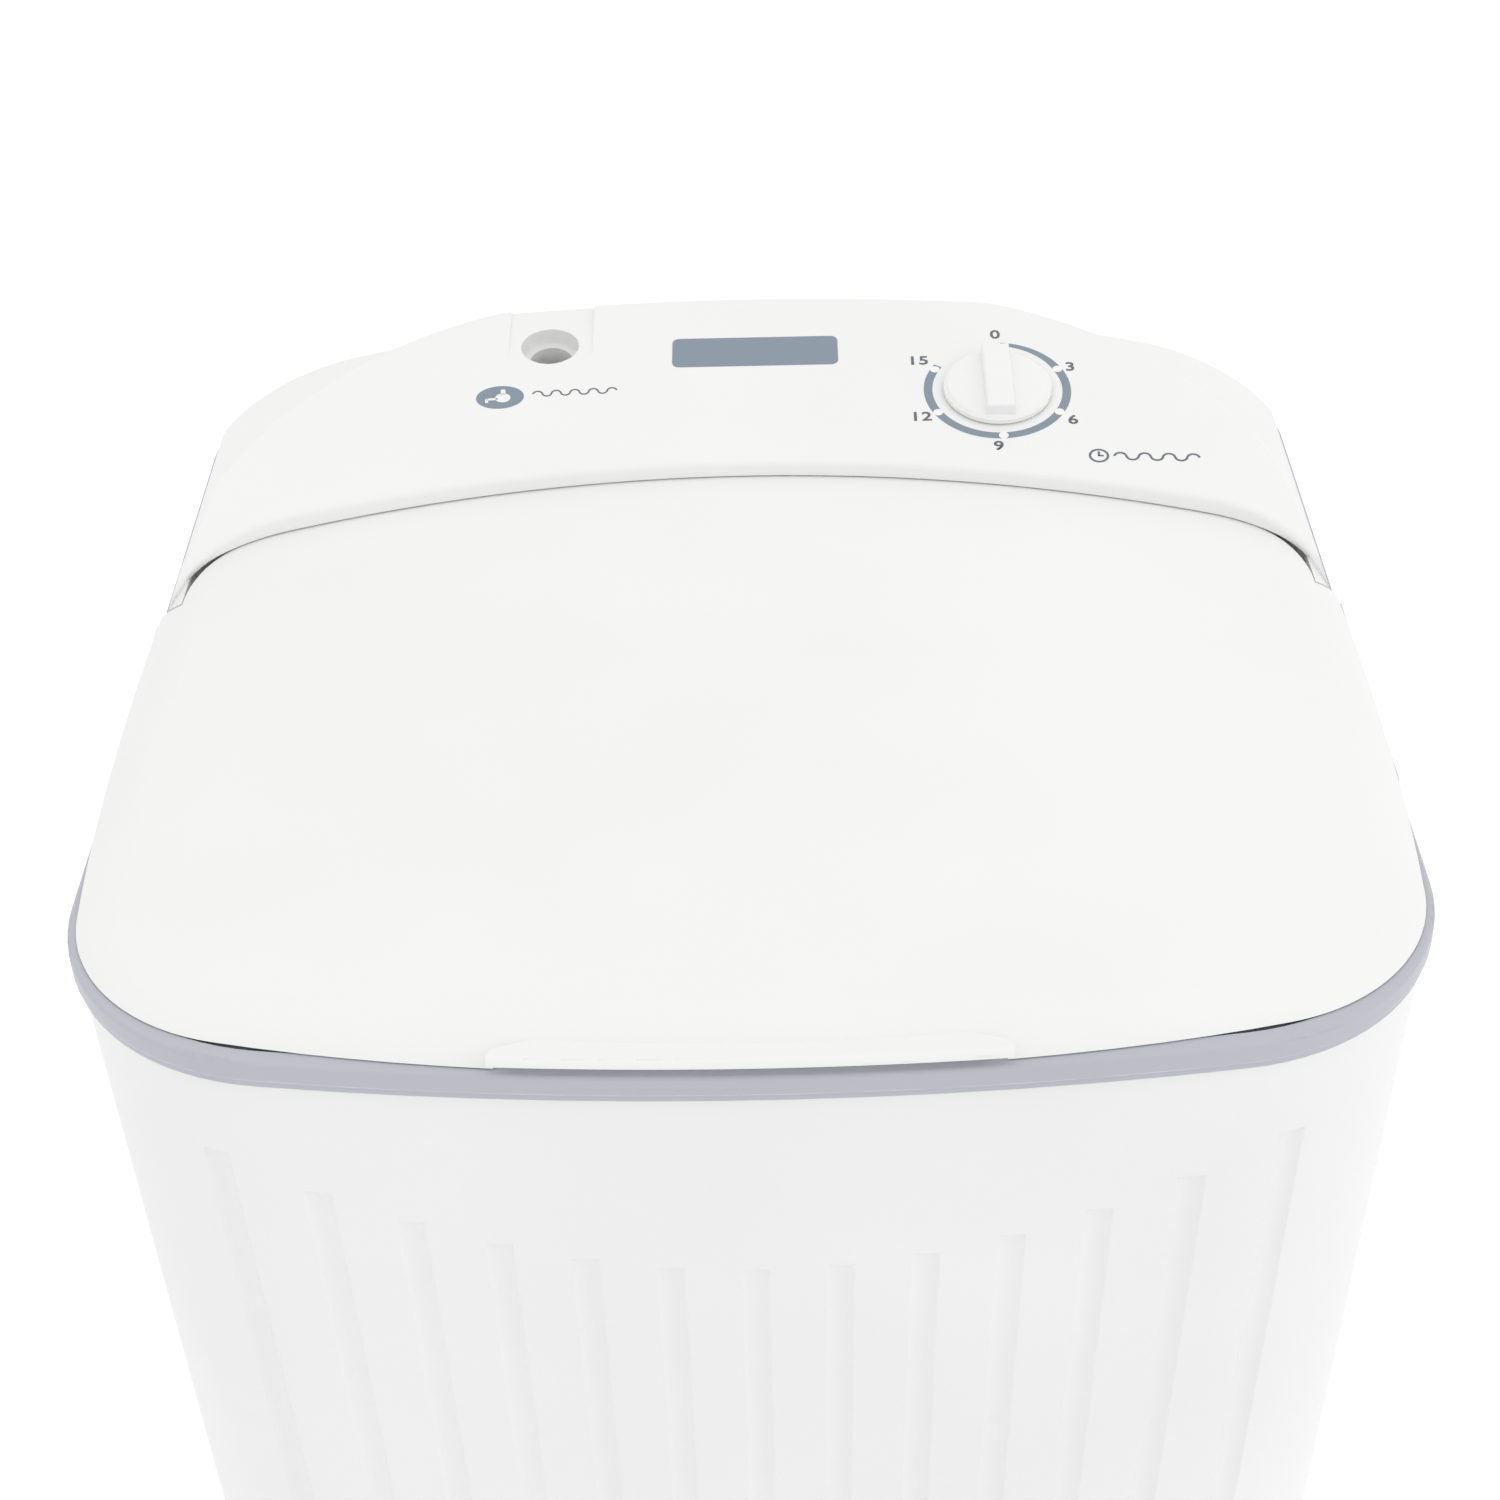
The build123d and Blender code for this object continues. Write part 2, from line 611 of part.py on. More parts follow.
with BuildPart() as control_panel:
    add(hood_outer)
    # The rear crest is rounded first, then the front lip
    for edge_kind in (GeomType.CIRCLE, GeomType.ELLIPSE):
        panel_face = control_panel.faces().filter_by(
            lambda f: (f.normal_at() - panel_plane.z_dir).length < 0.01
        ).sort_by(SortBy.AREA)[-1]
        fillet(panel_face.edges().filter_by(edge_kind), CREST_ROUND)
    add(lip_space.part, mode=Mode.SUBTRACT)
    add(hood_inner, mode=Mode.SUBTRACT)
    add(hood_cheeks.part)
    # Holes for the lid's hinge pins in the cheeks
    for side in (-1, 1):
        with Locations((side * (HINGE_PIN_OUTER + 0.2), HINGE_Y, HINGE_Z)):
            Cylinder(
                HINGE_PIN_RADIUS + HINGE_FIT,
                10,
                rotation=(0, -90 * side, 0),
                align=(Align.CENTER, Align.CENTER, Align.MIN),
                mode=Mode.SUBTRACT,
            )
    # Screw posts from the face down to the deck
    for x, y in PANEL_POSTS:
        post_top = on_panel(x, y, -HOOD_WALL / 2).origin.Z
        with Locations((x, y, RIM_TOP)):
            Cylinder(
                5, post_top - RIM_TOP, align=(Align.CENTER, Align.CENTER, Align.MIN)
            )
            Cylinder(
                SCREW_RADIUS + 0.03,
                14,
                align=(Align.CENTER, Align.CENTER, Align.MIN),
                mode=Mode.SUBTRACT,
            )
    # Shallow pad round the water inlet, running out at the rear edge
    with BuildSketch(pad_plane):
        with Locations(((PAD_LEFT + PAD_RIGHT) / 2, 30)):
            RectangleRounded(PAD_RIGHT - PAD_LEFT, 60, 6)
    extrude(amount=20, mode=Mode.SUBTRACT)
    # Water inlet with its short tube and a step that stops the hose
    with Locations(on_panel(INLET_X, INLET_Y, -1.2)):
        Cylinder(
            INLET_RADIUS + INLET_WALL, INLET_LENGTH, align=(Align.CENTER, Align.CENTER, Align.MAX)
        )
    with Locations(on_panel(INLET_X, INLET_Y, -INLET_STEP)):
        Cylinder(
            INLET_RADIUS,
            2 * INLET_STEP,
            align=(Align.CENTER, Align.CENTER, Align.MIN),
            mode=Mode.SUBTRACT,
        )
        Cylinder(INLET_NECK, 2 * INLET_LENGTH, mode=Mode.SUBTRACT)
    # Holes for the timer's shaft and its two screws
    with Locations(on_panel(DIAL_X, DIAL_Y)):
        Cylinder(TIMER_SHAFT_RADIUS + 1.5, 20, mode=Mode.SUBTRACT)
        with Locations((-TIMER_SCREW_SPAN / 2, 0), (TIMER_SCREW_SPAN / 2, 0)):
            Cylinder(SCREW_HOLE, 20, mode=Mode.SUBTRACT)

control_panel.part.label = "control_panel"
export_step(control_panel.part, "parts/control_panel.step")

with BuildPart() as panel_screws:
    for x, y in PANEL_POSTS:
        with Locations((x, y, RIM_TOP - LEDGE)):
            Cylinder(SCREW_HEAD, 2.2, align=(Align.CENTER, Align.CENTER, Align.MAX))
            Cylinder(SCREW_RADIUS, LEDGE + 12, align=(Align.CENTER, Align.CENTER, Align.MIN))

panel_screws.part.label = "panel_screws"
export_step(panel_screws.part, "parts/panel_screws.step")

# Water chute: a sloping trough from below the inlet to the tub
chute_middle = Plane.YZ.offset(INLET_X)
with BuildPart() as water_chute:
    with BuildSketch(chute_middle):
        with BuildLine():
            Polyline(
                (192, RIM_TOP + 6),
                (192, RIM_TOP - 8),
                (111.5, RIM_TOP - 20),
                (111.5, RIM_TOP - 8),
                (125, RIM_TOP + 2),
                (125, RIM_TOP + 6),
                close=True,
            )
        make_face()
    extrude(amount=18, both=True)
    with BuildSketch(chute_middle):
        with BuildLine():
            Polyline(
                (190, RIM_TOP + 10),
                (190, RIM_TOP - 6),
                (105, RIM_TOP - 18.7),
                (105, RIM_TOP + 10),
                close=True,
            )
        make_face()
    extrude(amount=16, both=True, mode=Mode.SUBTRACT)
    # Flange that rests on the deck
    with Locations((INLET_X, 160, RIM_TOP + 1)):
        Box(46, 70, 2)
        Box(34, 61, 2, mode=Mode.SUBTRACT)

water_chute.part.label = "water_chute"
export_step(water_chute.part, "parts/water_chute.step")

# Timer: case under the panel, its screws, the turning shaft and the knob
with BuildPart() as timer_case:
    with Locations(on_panel(DIAL_X, DIAL_Y, TIMER_TOP)):
        Cylinder(TIMER_RADIUS, TIMER_DEPTH, align=(Align.CENTER, Align.CENTER, Align.MAX))
        Cylinder(
            TIMER_SHAFT_RADIUS + RUNNING_FIT,
            TIMER_DEPTH - 4,
            align=(Align.CENTER, Align.CENTER, Align.MAX),
            mode=Mode.SUBTRACT,
        )
        with Locations((-TIMER_SCREW_SPAN / 2, 0), (TIMER_SCREW_SPAN / 2, 0)):
            Cylinder(
                SCREW_RADIUS + 0.03,
                8,
                align=(Align.CENTER, Align.CENTER, Align.MAX),
                mode=Mode.SUBTRACT,
            )
    fillet(timer_case.faces().sort_by(Axis.Z)[0].outer_wire().edges(), 2.0)

timer_case.part.label = "timer_case"
export_step(timer_case.part, "parts/timer_case.step")

with BuildPart() as timer_screws:
    with Locations(on_panel(DIAL_X, DIAL_Y)):
        with Locations((-TIMER_SCREW_SPAN / 2, 0), (TIMER_SCREW_SPAN / 2, 0)):
            Cylinder(SCREW_HEAD - 1, 1.6, align=(Align.CENTER, Align.CENTER, Align.MIN))
            Cylinder(SCREW_RADIUS, 9, align=(Align.CENTER, Align.CENTER, Align.MAX))

timer_screws.part.label = "timer_screws"
export_step(timer_screws.part, "parts/timer_screws.step")

with BuildPart() as timer_shaft:
    with Locations(on_panel(DIAL_X, DIAL_Y, TIMER_TOP - TIMER_DEPTH + 4.5)):
        Cylinder(
            TIMER_SHAFT_RADIUS,
            TIMER_DEPTH - 4.5 - TIMER_TOP + KNOB_SOCKET,
            align=(Align.CENTER, Align.CENTER, Align.MIN),
        )

timer_shaft.part.label = "timer_shaft"
export_step(timer_shaft.part, "parts/timer_shaft.step")

knob_plane = on_panel(DIAL_X, DIAL_Y)
knob_section = Plane(origin=knob_plane.origin, x_dir=(1, 0, 0), z_dir=(0, -PANEL_COS, -PANEL_SIN))
with BuildPart() as timer_knob:
    with BuildSketch(knob_section):
        with BuildLine():
            Polyline(
                (0, KNOB_FACE),
                (0, KNOB_GAP),
                (KNOB_RADIUS, KNOB_GAP),
                (KNOB_RADIUS, KNOB_EDGE),
                (KNOB_RADIUS - 1.6, KNOB_EDGE + 1.2),
            )
            ThreePointArc(
                (KNOB_RADIUS - 1.6, KNOB_EDGE + 1.2),
                (KNOB_RADIUS / 2, KNOB_FACE - 0.3),
                (0, KNOB_FACE),
            )
        make_face()
    revolve(axis=Axis(knob_plane.origin, knob_plane.z_dir))
    with BuildSketch(knob_plane.offset(KNOB_EDGE)):
        Rectangle(KNOB_BAR + 1.6, KNOB_BAR_LENGTH)
    extrude(amount=KNOB_TOP - KNOB_EDGE, taper=5)
    top_edges = timer_knob.faces().filter_by(
        lambda f: (f.normal_at() - panel_plane.z_dir).length < 0.01
    ).sort_by(Axis.Z)[-1].edges()
    fillet(top_edges, 0.9)
    with Locations(knob_plane.offset(KNOB_GAP)):
        Cylinder(
            KNOB_RADIUS - 2.2,
            2.2,
            align=(Align.CENTER, Align.CENTER, Align.MIN),
            mode=Mode.SUBTRACT,
        )
        Cylinder(TIMER_SHAFT_RADIUS + 2.5, 2.2, align=(Align.CENTER, Align.CENTER, Align.MIN))
        Cylinder(
            TIMER_SHAFT_RADIUS,
            KNOB_SOCKET - KNOB_GAP,
            align=(Align.CENTER, Align.CENTER, Align.MIN),
            mode=Mode.SUBTRACT,
        )

timer_knob.part.label = "timer_knob"
export_step(timer_knob.part, "parts/timer_knob.step")


# Lid: a domed shell with a rolled edge, an arched rear and a finger recess in front
with BuildPart() as lid_hollow:
    with BuildSketch(Plane.XY.offset(LID_REAR_BOTTOM - 1)):
        add(lid_plan(LID_WALL))
    extrude(amount=60)
    add(lid_form(LID_WALL), mode=Mode.INTERSECT)

with BuildPart() as lid_block:
    with BuildSketch(Plane.XY.offset(LID_REAR_BOTTOM)):
        add(lid_plan(0.0))
    extrude(amount=60)
    add(lid_form(0.0), mode=Mode.INTERSECT)
    with Locations((0, LID_WIDE_END, LID_BOTTOM)):
        Box(500, 400, 20, align=(Align.CENTER, Align.MAX, Align.MAX), mode=Mode.SUBTRACT)

with BuildPart() as hinge_bosses:
    for side in (-1, 1):
        with Locations((side * HINGE_BOSS_INNER, HINGE_Y, LID_REAR_BOTTOM)):
            Box(20, 8, 20, align=(Align.MIN if side > 0 else Align.MAX, Align.CENTER, Align.MIN))
    add(lid_block.part, mode=Mode.INTERSECT)

bow_centre = LID_FRONT + FRONT_BOW
with BuildPart() as lid:
    add(lid_block.part)
    add(lid_hollow.part, mode=Mode.SUBTRACT)
    add(hinge_bosses.part)
    # Finger recess below the handle
    with BuildSketch(Plane.XY.offset(HANDLE_UNDERSIDE)):
        with Locations((0, LID_FRONT)):
            Rectangle(2 * HANDLE_HALF - 3, 30)
        with Locations((0, bow_centre)):
            Circle(bow_centre - RECESS_BACK, mode=Mode.SUBTRACT)
    extrude(amount=-20, mode=Mode.SUBTRACT)
    for side in (-1, 1):
        with Locations((side * HINGE_PIN_INNER, HINGE_Y, HINGE_Z)):
            Cylinder(
                HINGE_PIN_RADIUS,
                20,
                rotation=(0, 90 * side, 0),
                align=(Align.CENTER, Align.CENTER, Align.MIN),
                mode=Mode.SUBTRACT,
            )

lid.part.label = "lid"
export_step(lid.part, "parts/lid.step")

# Lid handle: a visor bonded to the lid's front that follows its bow, with rounded ends
handle_turn = (HANDLE_HALF + 2) / FRONT_BOW
handle_plane = Plane(
    origin=(0, bow_centre, 0),
    x_dir=(-sin(handle_turn), -cos(handle_turn), 0),
    z_dir=(-cos(handle_turn), sin(handle_turn), 0),
)


def handle_point(y, rise):
    """Point of the handle's section at a depth on the middle plane and a rise over the lid's edge."""
    return (bow_centre - y, LID_LEVEL + rise)


with BuildPart() as lid_handle:
    with BuildSketch(handle_plane):
        with BuildLine():
            ThreePointArc(handle_point(-192.2, 5.5), handle_point(-197.0, 5.5), handle_point(-201.2, 6.0))
            ThreePointArc(handle_point(-201.2, 6.0), handle_point(-203.2, 5.2), handle_point(-203.7, 4.0))
            Polyline(
                handle_point(-203.7, 4.0),
                handle_point(-203.2, 3.9),
                handle_point(-196.0, 3.9),
                handle_point(-192.2, 5.5),
            )
        make_face()
    revolve(axis=Axis((0, bow_centre, 0), (0, 0, 1)), revolution_arc=degrees(2 * handle_turn))
    with BuildSketch(Plane.XY.offset(LID_LEVEL - 10)) as handle_zone:
        Polygon(
            (-HANDLE_HALF, -208),
            (HANDLE_HALF, -208),
            (HANDLE_HALF, -195.5),
            (HANDLE_TOP_HALF, -188.5),
            (-HANDLE_TOP_HALF, -188.5),
            (-HANDLE_HALF, -195.5),
            align=None,
        )
        fillet(handle_zone.vertices().group_by(Axis.Y)[1], 4)
        fillet(handle_zone.vertices().group_by(Axis.Y)[-1], 30)
    extrude(amount=30, mode=Mode.INTERSECT)
    add(lid_block.part, mode=Mode.SUBTRACT)

lid_handle.part.label = "lid_handle"
export_step(lid_handle.part, "parts/lid_handle.step")

for side, pin_name in ((-1, "hinge_pin_left"), (1, "hinge_pin_right")):
    with BuildPart() as hinge_pin:
        with Locations((side * HINGE_PIN_INNER, HINGE_Y, HINGE_Z)):
            Cylinder(
                HINGE_PIN_RADIUS,
                HINGE_PIN_OUTER - HINGE_PIN_INNER,
                rotation=(0, side * 90, 0),
                align=(Align.CENTER, Align.CENTER, Align.MIN),
            )
    hinge_pin.part.label = pin_name
    export_step(hinge_pin.part, f"parts/{pin_name}.step")

# Wash tub: a drafted basin with a shelf and an upstand bonded under the rim frame
with BuildPart() as wash_tub:
    for height in (TUB_FLOOR - TUB_WALL, TUB_SHELF):
        with BuildSketch(Plane.XY.offset(height)):
            add(tub_outline(height, TUB_WALL))
    loft()
    stand = TUB_STAND_HALF + TUB_STAND_WALL
    with BuildSketch(Plane.XY.offset(TUB_SHELF - TUB_WALL)):
        add(plan_outline(stand, -191.0, 114.0, 62.0, 55.0))
    extrude(amount=RIM_TOP - LEDGE - TUB_SHELF + TUB_WALL)
    with BuildSketch(Plane.XY.offset(TUB_SHELF)):
        add(plan_outline(TUB_STAND_HALF, -191.0 + TUB_STAND_WALL, 112.0, 60.0, 53.0))
    extrude(amount=60, mode=Mode.SUBTRACT)
    for height in (TUB_FLOOR, TUB_SHELF):
        with BuildSketch(Plane.XY.offset(height)):
            add(tub_outline(height))
    loft(mode=Mode.SUBTRACT)
    # The upstand is cut low where the lid's rear part swings down
    with Locations((0, MOUTH_REAR_START - COLLAR_WALL - 1, COLLAR_BOTTOM)):
        Box(500, 200, 60, align=(Align.CENTER, Align.MIN, Align.MIN), mode=Mode.SUBTRACT)
    # Round well for the pulsator
    with Locations((0, PULSATOR_Y, TUB_FLOOR)):
        Cylinder(
            WELL_RADIUS + TUB_WALL,
            WELL_DEPTH + TUB_WALL,
            align=(Align.CENTER, Align.CENTER, Align.MAX),
        )
        Cylinder(
            WELL_RADIUS, WELL_DEPTH, align=(Align.CENTER, Align.CENTER, Align.MAX), mode=Mode.SUBTRACT
        )
        Cylinder(HOUSING_RADIUS + 0.2, 60, mode=Mode.SUBTRACT)
    with Locations((DRAIN_X, DRAIN_Y, TUB_FLOOR)):
        Cylinder(DRAIN_OUTER + 0.2, 40, mode=Mode.SUBTRACT)

wash_tub.part.label = "wash_tub"
export_step(wash_tub.part, "parts/wash_tub.step")

# Drain: a slotted cover in the tub floor and an elbow out through the rear wall
with BuildPart() as drain_cover:
    with BuildSketch(Plane.XY.offset(TUB_FLOOR)):
        with Locations((DRAIN_X, DRAIN_Y)):
            Circle(DRAIN_OUTER + 5)
    extrude(amount=3.0)
    fillet(drain_cover.faces().sort_by(Axis.Z)[-1].edges(), 1.2)
    with BuildSketch(Plane.XY.offset(TUB_FLOOR)):
        with Locations((DRAIN_X, DRAIN_Y)):
            with PolarLocations(8.5, 8):
                SlotOverall(9, 3)
    extrude(amount=5, mode=Mode.SUBTRACT)

drain_cover.part.label = "drain_cover"
export_step(drain_cover.part, "parts/drain_cover.step")

with BuildPart() as drain_elbow:
    with BuildLine() as drain_route:
        FilletPolyline(
            (DRAIN_X, DRAIN_Y, TUB_FLOOR),
            (DRAIN_X, DRAIN_Y, DRAIN_Z),
            (DRAIN_X, DRAIN_STEP_Y, DRAIN_Z),
            radius=28,
        )
    with BuildSketch(Plane.XY.offset(TUB_FLOOR)):
        with Locations((DRAIN_X, DRAIN_Y)):
            Circle(DRAIN_OUTER)
            Circle(DRAIN_BORE, mode=Mode.SUBTRACT)
    sweep()
    # Free spigot for a hose behind the step
    with BuildSketch(Plane.XZ.offset(-DRAIN_STEP_Y)):
        with Locations((DRAIN_X, DRAIN_Z)):
            Circle(SPIGOT_RADIUS)
            Circle(SPIGOT_BORE, mode=Mode.SUBTRACT)
    extrude(amount=-SPIGOT_LENGTH)
    # Collar bonded under the tub floor
    with Locations((DRAIN_X, DRAIN_Y, TUB_FLOOR - TUB_WALL)):
        Cylinder(DRAIN_OUTER + 8, 3, align=(Align.CENTER, Align.CENTER, Align.MAX))
        Cylinder(
            DRAIN_BORE, 3, align=(Align.CENTER, Align.CENTER, Align.MAX), mode=Mode.SUBTRACT
        )

drain_elbow.part.label = "drain_elbow"
export_step(drain_elbow.part, "parts/drain_elbow.step")

# Pulsator with its vanes, turning in the well
pulsator_top = TUB_FLOOR - 3
with BuildPart() as pulsator:
    with BuildSketch(Plane.XZ.offset(-PULSATOR_Y)):
        with BuildLine():
            Polyline(
                (0, pulsator_top - 4),
                (26, pulsator_top - 4),
                (30, pulsator_top - 6),
                (PULSATOR_RADIUS - 4, pulsator_top - 6),
                (PULSATOR_RADIUS, pulsator_top - 3),
                (PULSATOR_RADIUS - 2, pulsator_top),
            )
            Spline(
                (PULSATOR_RADIUS - 2, pulsator_top),
                (60, pulsator_top - 1.5),
                (24, pulsator_top + 8),
                tangents=((-1, 0), (-0.6, 0.8)),
            )
            Polyline((24, pulsator_top + 8), (18, pulsator_top + 11), (0, pulsator_top + 11))
            Line((0, pulsator_top + 11), (0, pulsator_top - 4))
        make_face()
    revolve(axis=Axis((0, PULSATOR_Y, 0), (0, 0, 1)))
    with BuildSketch(Plane.XY.offset(pulsator_top - 3)):
        with Locations((0, PULSATOR_Y)):
            with PolarLocations(60, PULSATOR_VANES, start_angle=45):
                SlotOverall(86, 20)
    extrude(amount=17, taper=24)
    with Locations((0, PULSATOR_Y, pulsator_top + 11)):
        Cylinder(
            8, 4, align=(Align.CENTER, Align.CENTER, Align.MAX), mode=Mode.SUBTRACT
        )
        Cylinder(2.6, 40, mode=Mode.SUBTRACT)
    with Locations((0, PULSATOR_Y, pulsator_top + 5)):
        Cylinder(
            SHAFT_RADIUS, 20, align=(Align.CENTER, Align.CENTER, Align.MAX), mode=Mode.SUBTRACT
        )

pulsator.part.label = "pulsator"
export_step(pulsator.part, "parts/pulsator.step")

with BuildPart() as pulsator_screw:
    with Locations((0, PULSATOR_Y, pulsator_top + 7)):
        Cylinder(6.5, 3, align=(Align.CENTER, Align.CENTER, Align.MIN))
        Cylinder(2.5, 16, align=(Align.CENTER, Align.CENTER, Align.MAX))
    with Locations((0, PULSATOR_Y, pulsator_top + 10)):
        Box(9, 1.4, 2.4, mode=Mode.SUBTRACT)
        Box(1.4, 9, 2.4, mode=Mode.SUBTRACT)

pulsator_screw.part.label = "pulsator_screw"
export_step(pulsator_screw.part, "parts/pulsator_screw.step")

# Shaft, its housing, bushes and seal
shaft_foot = PULLEY_BOTTOM - 12
with BuildPart() as pulsator_shaft:
    with Locations((0, PULSATOR_Y, shaft_foot)):
        Cylinder(
            SHAFT_RADIUS,
            pulsator_top + 5 - shaft_foot,
            align=(Align.CENTER, Align.CENTER, Align.MIN),
        )
    with Locations((0, PULSATOR_Y, pulsator_top + 5)):
        Cylinder(
            2.53, 15, align=(Align.CENTER, Align.CENTER, Align.MAX), mode=Mode.SUBTRACT
        )

pulsator_shaft.part.label = "pulsator_shaft"
export_step(pulsator_shaft.part, "parts/pulsator_shaft.step")

well_underside = TUB_FLOOR - WELL_DEPTH - TUB_WALL
housing_foot = PULLEY_TOP + 10
housing_top = TUB_FLOOR - WELL_DEPTH + 4.5
with BuildPart() as bearing_housing:
    with Locations((0, PULSATOR_Y, housing_foot)):
        Cylinder(
            HOUSING_RADIUS,
            housing_top - housing_foot,
            align=(Align.CENTER, Align.CENTER, Align.MIN),
        )
    with Locations((0, PULSATOR_Y, well_underside)):
        Cylinder(34, 5, align=(Align.CENTER, Align.CENTER, Align.MAX))
    with BuildSketch(Plane.XY.offset(well_underside - 45)):
        with Locations((0, PULSATOR_Y)):
            with PolarLocations(20, 4):
                Rectangle(14, 4)
    extrude(amount=40, taper=3)
    with Locations((0, PULSATOR_Y, 0)):
        Cylinder(
            BUSH_RADIUS, 500, align=(Align.CENTER, Align.CENTER, Align.MIN), mode=Mode.SUBTRACT
        )

bearing_housing.part.label = "bearing_housing"
export_step(bearing_housing.part, "parts/bearing_housing.step")

for bush_name, bush_z in (("lower_bush", housing_foot), ("upper_bush", housing_top - 25)):
    with BuildPart() as bush:
        with Locations((0, PULSATOR_Y, bush_z)):
            Cylinder(BUSH_RADIUS, 20, align=(Align.CENTER, Align.CENTER, Align.MIN))
            Cylinder(
                SHAFT_RADIUS + RUNNING_FIT,
                20,
                align=(Align.CENTER, Align.CENTER, Align.MIN),
                mode=Mode.SUBTRACT,
            )
    bush.part.label = bush_name
    export_step(bush.part, f"parts/{bush_name}.step")

with BuildPart() as shaft_seal:
    with Locations((0, PULSATOR_Y, housing_top - 5)):
        Cylinder(BUSH_RADIUS, 5, align=(Align.CENTER, Align.CENTER, Align.MIN))
        Cylinder(
            SHAFT_RADIUS + 2 * RUNNING_FIT,
            5,
            align=(Align.CENTER, Align.CENTER, Align.MIN),
            mode=Mode.SUBTRACT,
        )

shaft_seal.part.label = "shaft_seal"
export_step(shaft_seal.part, "parts/shaft_seal.step")

with BuildPart() as housing_nut:
    with BuildSketch(Plane.XY.offset(TUB_FLOOR - WELL_DEPTH)):
        with Locations((0, PULSATOR_Y)):
            RegularPolygon(24, 6)
            Circle(HOUSING_RADIUS, mode=Mode.SUBTRACT)
    extrude(amount=4)

housing_nut.part.label = "housing_nut"
export_step(housing_nut.part, "parts/housing_nut.step")


# Pulleys with V grooves, the belt between them and the nut under the large one
def pulley_section(radius, bore, hub_radius, hub_drop, hub_rise):
    """Half section of a grooved pulley, across from its axis and up."""
    foot = radius - GROOVE_DEPTH
    return [
        (bore, PULLEY_BOTTOM - hub_drop),
        (hub_radius, PULLEY_BOTTOM - hub_drop),
        (hub_radius, BELT_Z - 3),
        (foot - 3.5, BELT_Z - 3),
        (foot - 3.5, PULLEY_BOTTOM),
        (radius, PULLEY_BOTTOM),
        (radius, BELT_Z - GROOVE_HALF_TOP),
        (foot, BELT_Z - GROOVE_HALF_FOOT),
        (foot, BELT_Z + GROOVE_HALF_FOOT),
        (radius, BELT_Z + GROOVE_HALF_TOP),
        (radius, PULLEY_TOP),
        (foot - 3.5, PULLEY_TOP),
        (foot - 3.5, BELT_Z + 3),
        (hub_radius, BELT_Z + 3),
        (hub_radius, PULLEY_TOP + hub_rise),
        (bore, PULLEY_TOP + hub_rise),
    ]


with BuildPart() as large_pulley:
    with BuildSketch(Plane.XZ.offset(-PULSATOR_Y)):
        Polygon(*pulley_section(DRIVE_PULLEY_RADIUS, SHAFT_RADIUS, 17, 3, 3), align=None)
    revolve(axis=Axis((0, PULSATOR_Y, 0), (0, 0, 1)))
    with Locations((0, PULSATOR_Y, BELT_Z)):
        with PolarLocations(39, 5):
            Cylinder(13, 20, mode=Mode.SUBTRACT)

large_pulley.part.label = "large_pulley"
export_step(large_pulley.part, "parts/large_pulley.step")

with BuildPart() as pulley_nut:
    with BuildSketch(Plane.XY.offset(PULLEY_BOTTOM - 10)):
        with Locations((0, PULSATOR_Y)):
            RegularPolygon(11, 6)
            Circle(SHAFT_RADIUS, mode=Mode.SUBTRACT)
    extrude(amount=7)

pulley_nut.part.label = "pulley_nut"
export_step(pulley_nut.part, "parts/pulley_nut.step")

with BuildPart() as motor_pulley:
    with BuildSketch(Plane.XZ.offset(-MOTOR_Y)):
        with Locations((MOTOR_X, 0)):
            Polygon(
                *pulley_section(MOTOR_PULLEY_RADIUS, MOTOR_SHAFT_RADIUS, 9, 2, 0), align=None
            )
    revolve(axis=Axis((MOTOR_X, MOTOR_Y, 0), (0, 0, 1)))

motor_pulley.part.label = "motor_pulley"
export_step(motor_pulley.part, "parts/motor_pulley.step")

pulley_places = [
    ((0, PULSATOR_Y), DRIVE_PULLEY_RADIUS),
    ((MOTOR_X, MOTOR_Y), MOTOR_PULLEY_RADIUS),
]


def belt_loop(drop):
    """Plan of the band that runs round both pulleys, drop below their rims."""
    with BuildSketch() as loop:
        for place, radius in pulley_places:
            with Locations(place):
                Circle(radius - drop)
        make_hull()
    return loop.sketch


with BuildPart() as drive_belt:
    with BuildSketch(Plane.XY.offset(BELT_Z - BELT_WIDTH / 2)):
        add(belt_loop(BELT_OUTER_DROP))
        add(belt_loop(BELT_INNER_DROP), mode=Mode.SUBTRACT)
    extrude(amount=BELT_WIDTH)

drive_belt.part.label = "drive_belt"
export_step(drive_belt.part, "parts/drive_belt.step")

# Motor: case, stator, rotor and shaft on a steel plate with rubber rings and bolts
motor_bolts_at = [
    (MOTOR_X + dx * MOTOR_BOLT_CIRCLE * 0.7071, MOTOR_Y + dy * MOTOR_BOLT_CIRCLE * 0.7071)
    for dx in (-1, 1)
    for dy in (-1, 1)
]

